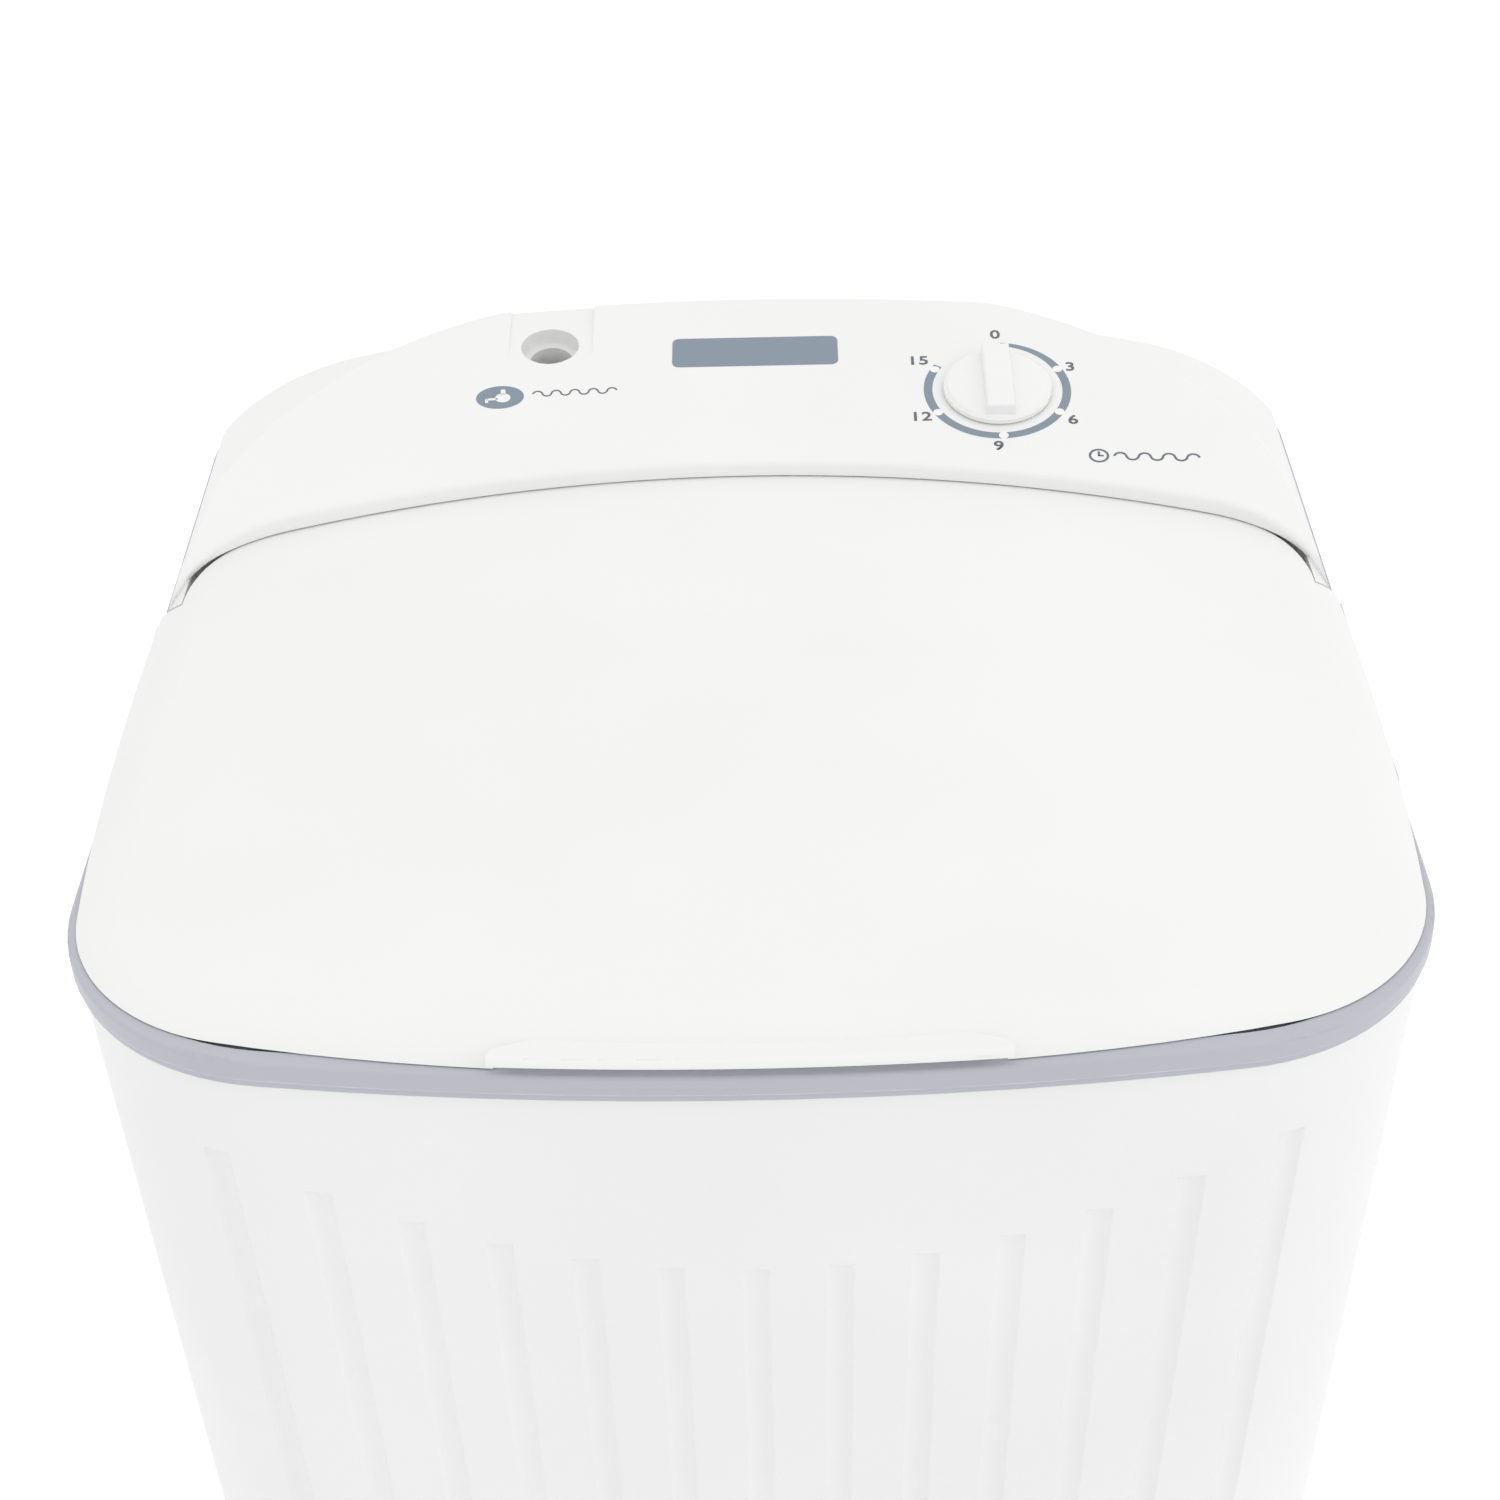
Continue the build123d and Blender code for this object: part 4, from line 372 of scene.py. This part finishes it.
def flat_arc(radius, width, start, sweep, x=0.0, y=0.0, steps=48):
    """Flat ring sector, from start, clockwise through sweep, spun from one edge."""
    bpy.ops.mesh.primitive_plane_add(size=1, location=(0, 0, 0))
    arc = bpy.context.object
    bpy.ops.object.mode_set(mode="EDIT")
    bpy.ops.mesh.select_all(action="SELECT")
    bpy.ops.mesh.merge(type="CENTER")
    outwards = Vector((math.sin(start), math.cos(start), 0))
    bpy.ops.transform.translate(value=outwards * radius)
    bpy.ops.mesh.extrude_region_move(TRANSFORM_OT_translate={"value": outwards * -width})
    bpy.ops.mesh.select_all(action="SELECT")
    bpy.ops.mesh.spin(steps=steps, angle=sweep, center=(0, 0, 0), axis=(0, 0, 1))
    bpy.ops.object.mode_set(mode="OBJECT")
    arc.location = (x, y, 0)
    apply_place()
    return arc


def flat_wave(pitch, humps, width, x=0.0):
    """Wavy stroke of arcs that swing up and down by turns, with its middle at x."""
    radius = pitch / 2 / math.sin(WAVE_BEND)
    arcs = []
    for hump in range(humps):
        side = 1 if hump % 2 == 0 else -1
        start = -WAVE_BEND if side > 0 else math.pi - WAVE_BEND
        middle = x + (hump - (humps - 1) / 2) * pitch
        drop = -side * radius * math.cos(WAVE_BEND)
        arcs.append(
            flat_arc(radius + width / 2, width, start, 2 * WAVE_BEND, middle, drop, WAVE_STEPS)
        )
    return join(arcs)


def flat_number(words, height, x, y):
    """Number as a flat mesh, centred on a point."""
    bpy.ops.object.text_add(location=(0, 0, 0))
    number = bpy.context.object
    number.data.body = words
    number.data.align_x = "CENTER"
    number.data.align_y = "CENTER"
    number.data.size = height / DIGIT_SHARE
    number.data.offset = DIGIT_WEIGHT
    number.data.space_character = DIGIT_SPACING
    bpy.ops.object.convert(target="MESH")
    number = bpy.context.object
    number.scale.x = DIGIT_STRETCH
    number.location = (x, y, 0)
    apply_place()
    return number


# Shared shader effects


def new_group(name, inputs, outputs):
    """Shader node group with named sockets; returns its tree and its two end nodes."""
    tree = bpy.data.node_groups.new(name, "ShaderNodeTree")
    for label, kind, value in inputs:
        socket = tree.interface.new_socket(label, in_out="INPUT", socket_type=kind)
        socket.default_value = value
    for label, kind in outputs:
        tree.interface.new_socket(label, in_out="OUTPUT", socket_type=kind)
    return tree, tree.nodes.new("NodeGroupInput"), tree.nodes.new("NodeGroupOutput")


def noise(tree, vector, scale, detail=3.0, roughness=0.55):
    node = tree.nodes.new("ShaderNodeTexNoise")
    node.inputs["Detail"].default_value = detail
    node.inputs["Roughness"].default_value = roughness
    if isinstance(scale, bpy.types.NodeSocket):
        tree.links.new(scale, node.inputs["Scale"])
    else:
        node.inputs["Scale"].default_value = scale
    tree.links.new(vector, node.inputs["Vector"])
    return node.outputs["Fac"]


def ramp(tree, value, low, high, start=0.0, end=1.0):
    """Map a value from low..high to start..end, clamped."""
    node = tree.nodes.new("ShaderNodeMapRange")
    node.inputs["From Min"].default_value = low
    node.inputs["From Max"].default_value = high
    node.inputs["To Min"].default_value = start
    node.inputs["To Max"].default_value = end
    tree.links.new(value, node.inputs["Value"])
    return node.outputs["Result"]


def maths(tree, operation, first, second):
    node = tree.nodes.new("ShaderNodeMath")
    node.operation = operation
    for socket, value in zip(node.inputs, (first, second)):
        if isinstance(value, bpy.types.NodeSocket):
            tree.links.new(value, socket)
        else:
            socket.default_value = value
    return node.outputs["Value"]


def mix_colour(tree, factor, first, second):
    node = tree.nodes.new("ShaderNodeMix")
    node.data_type = "RGBA"
    for index, value in ((MIX_FACTOR, factor), (MIX_FIRST, first), (MIX_SECOND, second)):
        if isinstance(value, bpy.types.NodeSocket):
            tree.links.new(value, node.inputs[index])
        else:
            node.inputs[index].default_value = value
    return node.outputs[MIX_RESULT]


def moulded_skin():
    """Moulded plastic: soft mottling, fine grain, faint rub marks."""
    if "moulded_skin" in bpy.data.node_groups:
        return bpy.data.node_groups["moulded_skin"]
    tree, source, sink = new_group(
        "moulded_skin",
        [
            ("Colour", "NodeSocketColor", (0.9, 0.9, 0.9, 1)),
            ("Shade", "NodeSocketColor", (0.8, 0.8, 0.8, 1)),
            ("Mottle", "NodeSocketFloat", 0.3),
            ("Roughness", "NodeSocketFloat", 0.35),
            ("Grain Scale", "NodeSocketFloat", 900.0),
            ("Rub", "NodeSocketFloat", 0.1),
        ],
        [
            ("Colour", "NodeSocketColor"),
            ("Roughness", "NodeSocketFloat"),
            ("Height", "NodeSocketFloat"),
        ],
    )
    place = tree.nodes.new("ShaderNodeTexCoord").outputs["Object"]
    cloud = ramp(tree, noise(tree, place, scale=7.0, detail=2.0), low=0.35, high=0.7)
    grain = noise(tree, place, source.outputs["Grain Scale"], detail=2.0)
    streak_map = tree.nodes.new("ShaderNodeMapping")
    streak_map.inputs["Scale"].default_value = (1.0, 0.16, 0.4)
    streak_map.inputs["Rotation"].default_value = (0.0, 0.0, 0.5)
    tree.links.new(place, streak_map.inputs["Vector"])
    streaks = noise(tree, streak_map.outputs["Vector"], scale=120.0, detail=4.0, roughness=0.7)
    rub = ramp(tree, streaks, low=0.66, high=0.78)
    amount = maths(tree, "MULTIPLY", cloud, source.outputs["Mottle"])
    rubbed = maths(tree, "MULTIPLY", rub, source.outputs["Rub"])
    toned = mix_colour(tree, amount, source.outputs["Colour"], source.outputs["Shade"])
    marked = mix_colour(tree, rubbed, toned, source.outputs["Shade"])
    uneven = ramp(tree, grain, low=0.3, high=0.7, start=-0.03, end=0.05)
    rough = maths(tree, "ADD", source.outputs["Roughness"], uneven)
    rough = maths(tree, "ADD", rough, maths(tree, "MULTIPLY", rubbed, 0.4))
    tree.links.new(marked, sink.inputs["Colour"])
    tree.links.new(rough, sink.inputs["Roughness"])
    tree.links.new(grain, sink.inputs["Height"])
    return tree


def parting_line_glint():
    """Painted highlight: a thin bright line at one height, broken up along its run like glints on a
    moulding's parting line.
    """
    if "parting_line_glint" in bpy.data.node_groups:
        return bpy.data.node_groups["parting_line_glint"]
    tree, source, sink = new_group(
        "parting_line_glint",
        [("Height", "NodeSocketFloat", 0.6), ("Width", "NodeSocketFloat", 0.0004)],
        [("Mask", "NodeSocketFloat")],
    )
    place = tree.nodes.new("ShaderNodeTexCoord").outputs["Object"]
    parts = tree.nodes.new("ShaderNodeSeparateXYZ")
    tree.links.new(place, parts.inputs["Vector"])
    offset = maths(tree, "SUBTRACT", parts.outputs["Z"], source.outputs["Height"])
    far = maths(tree, "DIVIDE", maths(tree, "ABSOLUTE", offset, 0.0), source.outputs["Width"])
    line = ramp(tree, far, low=0.4, high=1.0, start=1.0, end=0.0)
    # Noise breaks the painted highlight into separate glints
    patches = noise(tree, place, scale=60.0, detail=4.0, roughness=0.7)
    broken = ramp(tree, patches, low=0.4, high=0.62, start=0.25, end=1.0)
    tree.links.new(maths(tree, "MULTIPLY", line, broken), sink.inputs["Mask"])
    return tree


def metal_skin():
    """Machined or plated metal: fine streaks and tarnish."""
    if "metal_skin" in bpy.data.node_groups:
        return bpy.data.node_groups["metal_skin"]
    tree, source, sink = new_group(
        "metal_skin",
        [
            ("Colour", "NodeSocketColor", (0.6, 0.6, 0.6, 1)),
            ("Tarnish", "NodeSocketColor", (0.3, 0.28, 0.25, 1)),
            ("Amount", "NodeSocketFloat", 0.3),
            ("Roughness", "NodeSocketFloat", 0.3),
            ("Scale", "NodeSocketFloat", 300.0),
        ],
        [
            ("Colour", "NodeSocketColor"),
            ("Roughness", "NodeSocketFloat"),
            ("Height", "NodeSocketFloat"),
        ],
    )
    place = tree.nodes.new("ShaderNodeTexCoord").outputs["Object"]
    streak_map = tree.nodes.new("ShaderNodeMapping")
    streak_map.inputs["Scale"].default_value = (1.0, 1.0, 0.12)
    tree.links.new(place, streak_map.inputs["Vector"])
    streak = noise(tree, streak_map.outputs["Vector"], source.outputs["Scale"])
    cloud = ramp(tree, noise(tree, place, scale=40.0, detail=4.0), low=0.45, high=0.75)
    amount = maths(tree, "MULTIPLY", cloud, source.outputs["Amount"])
    toned = mix_colour(tree, amount, source.outputs["Colour"], source.outputs["Tarnish"])
    uneven = ramp(tree, streak, low=0.3, high=0.7, start=-0.06, end=0.1)
    rough = maths(tree, "ADD", source.outputs["Roughness"], uneven)
    tree.links.new(toned, sink.inputs["Colour"])
    tree.links.new(rough, sink.inputs["Roughness"])
    tree.links.new(streak, sink.inputs["Height"])
    return tree


def new_material(name):
    """Empty material; returns it with its tree and its Principled shader."""
    material = bpy.data.materials.new(name)
    material.use_nodes = True
    tree = material.node_tree
    return material, tree, tree.nodes["Principled BSDF"]


def use_group(tree, group, **values):
    node = tree.nodes.new("ShaderNodeGroup")
    node.node_tree = group
    for label, value in values.items():
        node.inputs[label.replace("_", " ").title()].default_value = value
    return node


def bump(tree, shader, height, strength, distance):
    node = tree.nodes.new("ShaderNodeBump")
    node.inputs["Strength"].default_value = strength
    node.inputs["Distance"].default_value = distance
    tree.links.new(height, node.inputs["Height"])
    tree.links.new(node.outputs["Normal"], shader.inputs["Normal"])


def rgba(colour, factor=1.0):
    return (colour[0] * factor, colour[1] * factor, colour[2] * factor, 1.0)


def plastic(
    name, colour, shade=0.9, mottle=0.25, rough=0.36, grain=900.0, rub=0.06, lift=0.05, seam_glint=None
):
    """Moulded plastic material; seam_glint is the height, width and colour of a painted highlight along
    a parting line, if any.
    """
    material, tree, shader = new_material(name)
    skin = use_group(
        tree, moulded_skin(), colour=rgba(colour), shade=rgba(colour, shade), mottle=mottle,
        roughness=rough, grain_scale=grain, rub=rub,
    )
    base = skin.outputs["Colour"]
    # Painted highlight: the parting line is mixed towards a lighter colour
    if seam_glint:
        height, width, glint_colour = seam_glint
        line = use_group(tree, parting_line_glint(), height=height, width=width)
        base = mix_colour(tree, line.outputs["Mask"], base, rgba(glint_colour))
    tree.links.new(base, shader.inputs["Base Color"])
    tree.links.new(skin.outputs["Roughness"], shader.inputs["Roughness"])
    bump(tree, shader, skin.outputs["Height"], lift, GRAIN_DEPTH)
    shader.inputs["IOR"].default_value = PLASTIC_IOR
    return material


def metal(name, colour, tarnish, amount, rough, scale=300.0):
    """Machined or plated metal material."""
    material, tree, shader = new_material(name)
    skin = use_group(
        tree, metal_skin(), colour=rgba(colour), tarnish=rgba(tarnish), amount=amount,
        roughness=rough, scale=scale,
    )
    tree.links.new(skin.outputs["Colour"], shader.inputs["Base Color"])
    tree.links.new(skin.outputs["Roughness"], shader.inputs["Roughness"])
    bump(tree, shader, skin.outputs["Height"], STREAK_STRENGTH, STREAK_DEPTH)
    shader.inputs["Metallic"].default_value = 1.0
    return material


def dress(material, *names):
    """Give CAD nodes a material."""
    for name in names:
        node = frame["nodes"][name]
        node.data.materials.clear()
        node.data.materials.append(material)


class WASHER_OT_white_shells(Operator):
    """Finish the lid, panel, knob and cabinet in white moulded plastic"""

    bl_idname = "washer.white_shells"
    bl_label = "White shells"

    def execute(self, context):
        tone = colours()
        dress(plastic("lid_white", tone.shell_white, rough=0.34, lift=0.04), "lid", "lid_handle")
        dress(plastic("panel_white", tone.shell_white, rough=0.36, lift=0.05), "control_panel")
        dress(plastic("knob_white", tone.shell_white, rough=0.3, rub=0.1, lift=0.03), "timer_knob")
        walls = [n for n in frame["nodes"] if n.startswith("cabinet_")]
        dress(plastic("cabinet_white", tone.cabinet_white, rough=0.4, mottle=0.3), *walls)
        tub = plastic("tub_white", tone.tub_white, rough=0.32, mottle=0.4, rub=0.12)
        dress(tub, "wash_tub", "water_chute")
        return {"FINISHED"}


class WASHER_OT_rim(Operator):
    """Finish the rim frame and side grips in grey plastic, with a painted highlight along its parting
    line
    """

    bl_idname = "washer.rim"
    bl_label = "Grey rim"

    def execute(self, context):
        tone = colours().rim_grey
        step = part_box("rim_frame")[1].z - sizes().rim_step
        # Painted highlight: the parting line's colour is the rim's grey made lighter
        glint_grey = tuple(min(1.0, c * SEAM_GLINT_GAIN) for c in tone)
        rim = plastic(
            "rim_grey", tone, shade=0.92, mottle=0.5, rough=0.38, rub=0.25,
            seam_glint=(step, SEAM_GLINT_WIDTH, glint_grey),
        )
        dress(rim, "rim_frame", "side_grip_left", "side_grip_right")
        return {"FINISHED"}


class WASHER_OT_works(Operator):
    """Finish the tub's fittings, the drive, the base and the fasteners"""

    bl_idname = "washer.works"
    bl_label = "Works"

    def execute(self, context):
        tone = colours()
        blue = plastic("pulsator_blue", tone.pulsator_blue, rough=0.3, mottle=0.35, rub=0.2)
        dress(blue, "pulsator")
        base = plastic(
            "base_grey", tone.base_grey, rough=0.55, mottle=0.4, grain=500, rub=0.2, lift=0.2
        )
        dress(base, "base_pan", "rear_cover", "drain_cover", "drain_elbow")
        rubber = plastic(
            "black_rubber", RUBBER_BLACK, shade=1.8, mottle=0.5, rough=0.7, grain=350, rub=0.3, lift=0.3
        )
        feet = [n for n in frame["nodes"] if n.startswith("foot_")]
        dress(rubber, *feet, "motor_rubbers", "shaft_seal", "cord_gland", "drive_belt")
        dark = plastic(
            "dark_plastic", DARK_GREY, shade=1.5, mottle=0.4, rough=0.5, grain=700, rub=0.2, lift=0.1
        )
        dress(dark, "timer_case", "capacitor", "wire_clips", "wire_harness")
        paint = plastic(
            "motor_paint", MOTOR_GREY, shade=0.7, mottle=0.5, rough=0.42, grain=1200, rub=0.35,
            lift=0.15,
        )
        dress(paint, "motor_case", "motor_plate")
        plated = metal("zinc_plate", ZINC, ZINC_TARNISH, amount=0.35, rough=0.32)
        fasteners = ("_screws", "_screw", "_bolts", "_nut", "_shaft")
        screws = [n for n in frame["nodes"] if n.endswith(fasteners)]
        dress(plated, *screws, "hinge_pin_left", "hinge_pin_right", "capacitor_clip")
        core = metal("core_steel", CORE_STEEL, CORE_TARNISH, amount=0.5, rough=0.5, scale=900)
        dress(core, "motor_stator", "motor_rotor")
        cast = metal(
            "cast_aluminium", ALUMINIUM, ALUMINIUM_TARNISH, amount=0.4, rough=0.45, scale=500
        )
        dress(cast, "large_pulley", "motor_pulley", "bearing_housing")
        bronze = metal("bush_bronze", BRONZE, BRONZE_TARNISH, amount=0.4, rough=0.4, scale=800)
        dress(bronze, "lower_bush", "upper_bush")
        return {"FINISHED"}


def print_material(name, colour):
    """Screen print: slightly uneven ink with a soft sheen."""
    return plastic(name, colour, shade=1.12, mottle=0.35, rough=0.45, grain=2500, rub=0.15)


class WASHER_OT_dial(Operator):
    """Print the timer's ring, its dots and its numbers on the panel"""

    bl_idname = "washer.dial"
    bl_label = "Dial print"

    def execute(self, context):
        size = sizes()
        blue = print_material("print_blue", colours().print_blue)
        grey = print_material("print_grey", colours().print_grey)
        white = print_material("print_white", INK_WHITE)
        place = panel_place(DIAL_CENTRE.x, DIAL_CENTRE.y)
        radius = size.ring_outer
        width = size.ring_width
        middle = radius - width / 2
        ring = flat_arc(radius, width, RING_START, RING_SWEEP, steps=RING_STEPS)
        for vertex in ring.data.vertices:
            angle = math.atan2(vertex.co.x, vertex.co.y) % (2 * math.pi)
            reach = vertex.co.to_2d().length
            if angle < RING_FULL_AT and reach < middle:
                share = RING_THIN + (1 - RING_THIN) * angle / RING_FULL_AT
                vertex.co *= (radius - width * share) / reach
        settle(thicken(ring, INK), "dial_ring", "cabinet", blue, place)

        dots = []
        for angle in map(math.radians, DOT_ANGLES):
            dots.append(flat_disc(size.dot_radius, math.sin(angle) * middle, math.cos(angle) * middle))
        dots = thicken(join(dots), OVERPRINT)
        settle(dots, "dial_dots", "cabinet", white, place)

        numbers = []
        for index, (x, y) in enumerate(NUMBER_SPOTS):
            words = str(index * size.minutes_step)
            along = (y - DIAL_CENTRE.y) / PANEL_RISE.y
            numbers.append(flat_number(words, size.digit_height, x - DIAL_CENTRE.x, along))
        numbers = thicken(join(numbers), INK)
        settle(numbers, "dial_numbers", "cabinet", grey, place)
        return {"FINISHED"}


class WASHER_OT_panel_prints(Operator):
    """Print the bare plate and the plain pictograms for water and time on the panel"""

    bl_idname = "washer.panel_prints"
    bl_label = "Panel prints"

    def execute(self, context):
        blue = bpy.data.materials["print_blue"]
        grey = bpy.data.materials["print_grey"]
        white = bpy.data.materials["print_white"]

        plate = thicken(flat_bar(PLATE_WIDTH, PLATE_HEIGHT, corner=PLATE_CORNER), INK)
        settle(plate, "bare_plate", "cabinet", blue, panel_place(*PLATE_SPOT))

        badge_place = panel_place(*BADGE_SPOT, BADGE_TURN)
        badge = thicken(flat_disc(BADGE_RADIUS, stretch=BADGE_SQUASH, vertices=BADGE_STEPS), INK)
        settle(badge, "inlet_badge", "cabinet", blue, badge_place)
        tap = [flat_disc(TAP_BODY_RADIUS, *TAP_BODY_MIDDLE, TAP_BODY_SQUASH)]
        for bar in (TAP_HANDLE, TAP_SPOUT, TAP_NOZZLE):
            tap.append(flat_bar(*bar, corner=TAP_CORNER))
        tap = thicken(join(tap), OVERPRINT)
        settle(tap, "inlet_tap", "cabinet", white, badge_place)

        stream = thicken(flat_wave(STREAM_PITCH, STREAM_HUMPS, STREAM_STROKE), INK)
        stream_place = panel_place(*STREAM_SPOT, STREAM_TURN)
        settle(stream, "inlet_stream", "cabinet", grey, stream_place)

        clock = [
            flat_arc(CLOCK_RADIUS, CLOCK_STROKE, 0, 2 * math.pi, CLOCK_MIDDLE, 0, CLOCK_STEPS),
            flat_bar(*LONG_HAND),
            flat_bar(*SHORT_HAND),
            flat_wave(CLOCK_WAVE_PITCH, CLOCK_WAVE_HUMPS, CLOCK_STROKE, CLOCK_WAVE_MIDDLE),
        ]
        clock = thicken(join(clock), INK)
        clock_place = panel_place(*CLOCK_SPOT, CLOCK_TURN)
        settle(clock, "timer_clock", "cabinet", grey, clock_place)
        return {"FINISHED"}


class WASHER_OT_stage(Operator):
    """Set the floor, the soft studio light and the camera"""

    bl_idname = "washer.stage"
    bl_label = "Stage"

    def execute(self, context):
        scene = context.scene
        look = scene.washer_stage
        scene.view_settings.view_transform = "Standard"
        self.set_floor()
        self.set_sky(scene, look.sky_level)
        self.add_lamp("top_lamp", *TOP_LAMP, look.top_level)
        self.add_lamp("side_lamp", *SIDE_LAMP, look.side_level)
        data = bpy.data.cameras.new("photo_camera")
        data.lens = look.lens
        data.sensor_width = FILM_WIDTH_MM
        data.clip_start = CLIP_START
        camera = bpy.data.objects.new("photo_camera", data)
        scene.collection.objects.link(camera)
        turn = (
            Matrix.Rotation(look.yaw, 4, "Z")
            @ Matrix.Rotation(math.pi / 2 - look.pitch, 4, "X")
            @ Matrix.Rotation(look.roll, 4, "Z")
        )
        camera.matrix_world = Matrix.Translation(look.place) @ turn
        scene.camera = camera
        return {"FINISHED"}

    def set_floor(self):
        bpy.ops.mesh.primitive_plane_add(size=FLOOR_WIDTH, location=(0, 0, 0))
        floor = bpy.context.object
        floor.name = "floor"
        material, tree, shader = new_material("pale_floor")
        shader.inputs["Base Color"].default_value = FLOOR_WHITE
        shader.inputs["Roughness"].default_value = FLOOR_ROUGHNESS
        path = tree.nodes.new("ShaderNodeLightPath")
        glow = tree.nodes.new("ShaderNodeEmission")
        glow.inputs["Color"].default_value = FLOOR_GLOW
        seen = maths(tree, "MAXIMUM", path.outputs["Is Camera Ray"], path.outputs["Is Glossy Ray"])
        tree.links.new(seen, glow.inputs["Strength"])
        both = tree.nodes.new("ShaderNodeAddShader")
        tree.links.new(shader.outputs["BSDF"], both.inputs[0])
        tree.links.new(glow.outputs["Emission"], both.inputs[1])
        tree.links.new(both.outputs["Shader"], tree.nodes["Material Output"].inputs["Surface"])
        floor.data.materials.append(material)

    def set_sky(self, scene, level):
        world = bpy.data.worlds.new("studio")
        scene.world = world
        world.use_nodes = True
        tree = world.node_tree
        sky = tree.nodes["Background"]
        sky.inputs["Color"].default_value = (1, 1, 1, 1)
        path = tree.nodes.new("ShaderNodeLightPath")
        seen = maths(tree, "MAXIMUM", path.outputs["Is Camera Ray"], path.outputs["Is Glossy Ray"])
        seen = maths(tree, "MAXIMUM", seen, path.outputs["Is Transmission Ray"])
        tree.links.new(ramp(tree, seen, 0.0, 1.0, level, 1.0), sky.inputs["Strength"])

    def add_lamp(self, name, place, aim, size, power):
        data = bpy.data.lights.new(name, "AREA")
        data.shape = "DISK"
        data.size = size
        data.energy = power
        lamp = bpy.data.objects.new(name, data)
        lamp.location = place
        lamp.rotation_euler = (Vector(aim) - Vector(place)).to_track_quat("-Z", "Y").to_euler()
        bpy.context.scene.collection.objects.link(lamp)


STEPS = (
    WASHER_OT_white_shells,
    WASHER_OT_rim,
    WASHER_OT_works,
    WASHER_OT_dial,
    WASHER_OT_panel_prints,
    WASHER_OT_stage,
)


class WASHER_PT_sidebar(Panel):
    """Steps and values of the washing machine"""

    bl_idname = "WASHER_PT_sidebar"
    bl_label = "Washing machine"
    bl_space_type = "VIEW_3D"
    bl_region_type = "UI"
    bl_category = "Washer"

    def draw(self, context):
        for step in STEPS:
            self.layout.operator(step.bl_idname)
        for group in ("washer_colours", "washer_sizes", "washer_stage"):
            values = getattr(context.scene, group)
            for name in values.__annotations__:
                self.layout.prop(values, name)


CLASSES = (WasherColours, WasherSizes, WasherStage, *STEPS, WASHER_PT_sidebar)


def register():
    for item in CLASSES:
        bpy.utils.register_class(item)
    bpy.types.Scene.washer_colours = PointerProperty(type=WasherColours)
    bpy.types.Scene.washer_sizes = PointerProperty(type=WasherSizes)
    bpy.types.Scene.washer_stage = PointerProperty(type=WasherStage)


def unregister():
    del bpy.types.Scene.washer_stage
    del bpy.types.Scene.washer_sizes
    del bpy.types.Scene.washer_colours
    for item in reversed(CLASSES):
        bpy.utils.unregister_class(item)


def main():
    register()
    for step in STEPS:
        category, name = step.bl_idname.split(".")
        getattr(getattr(bpy.ops, category), name)()


if __name__ == "__main__":
    main()
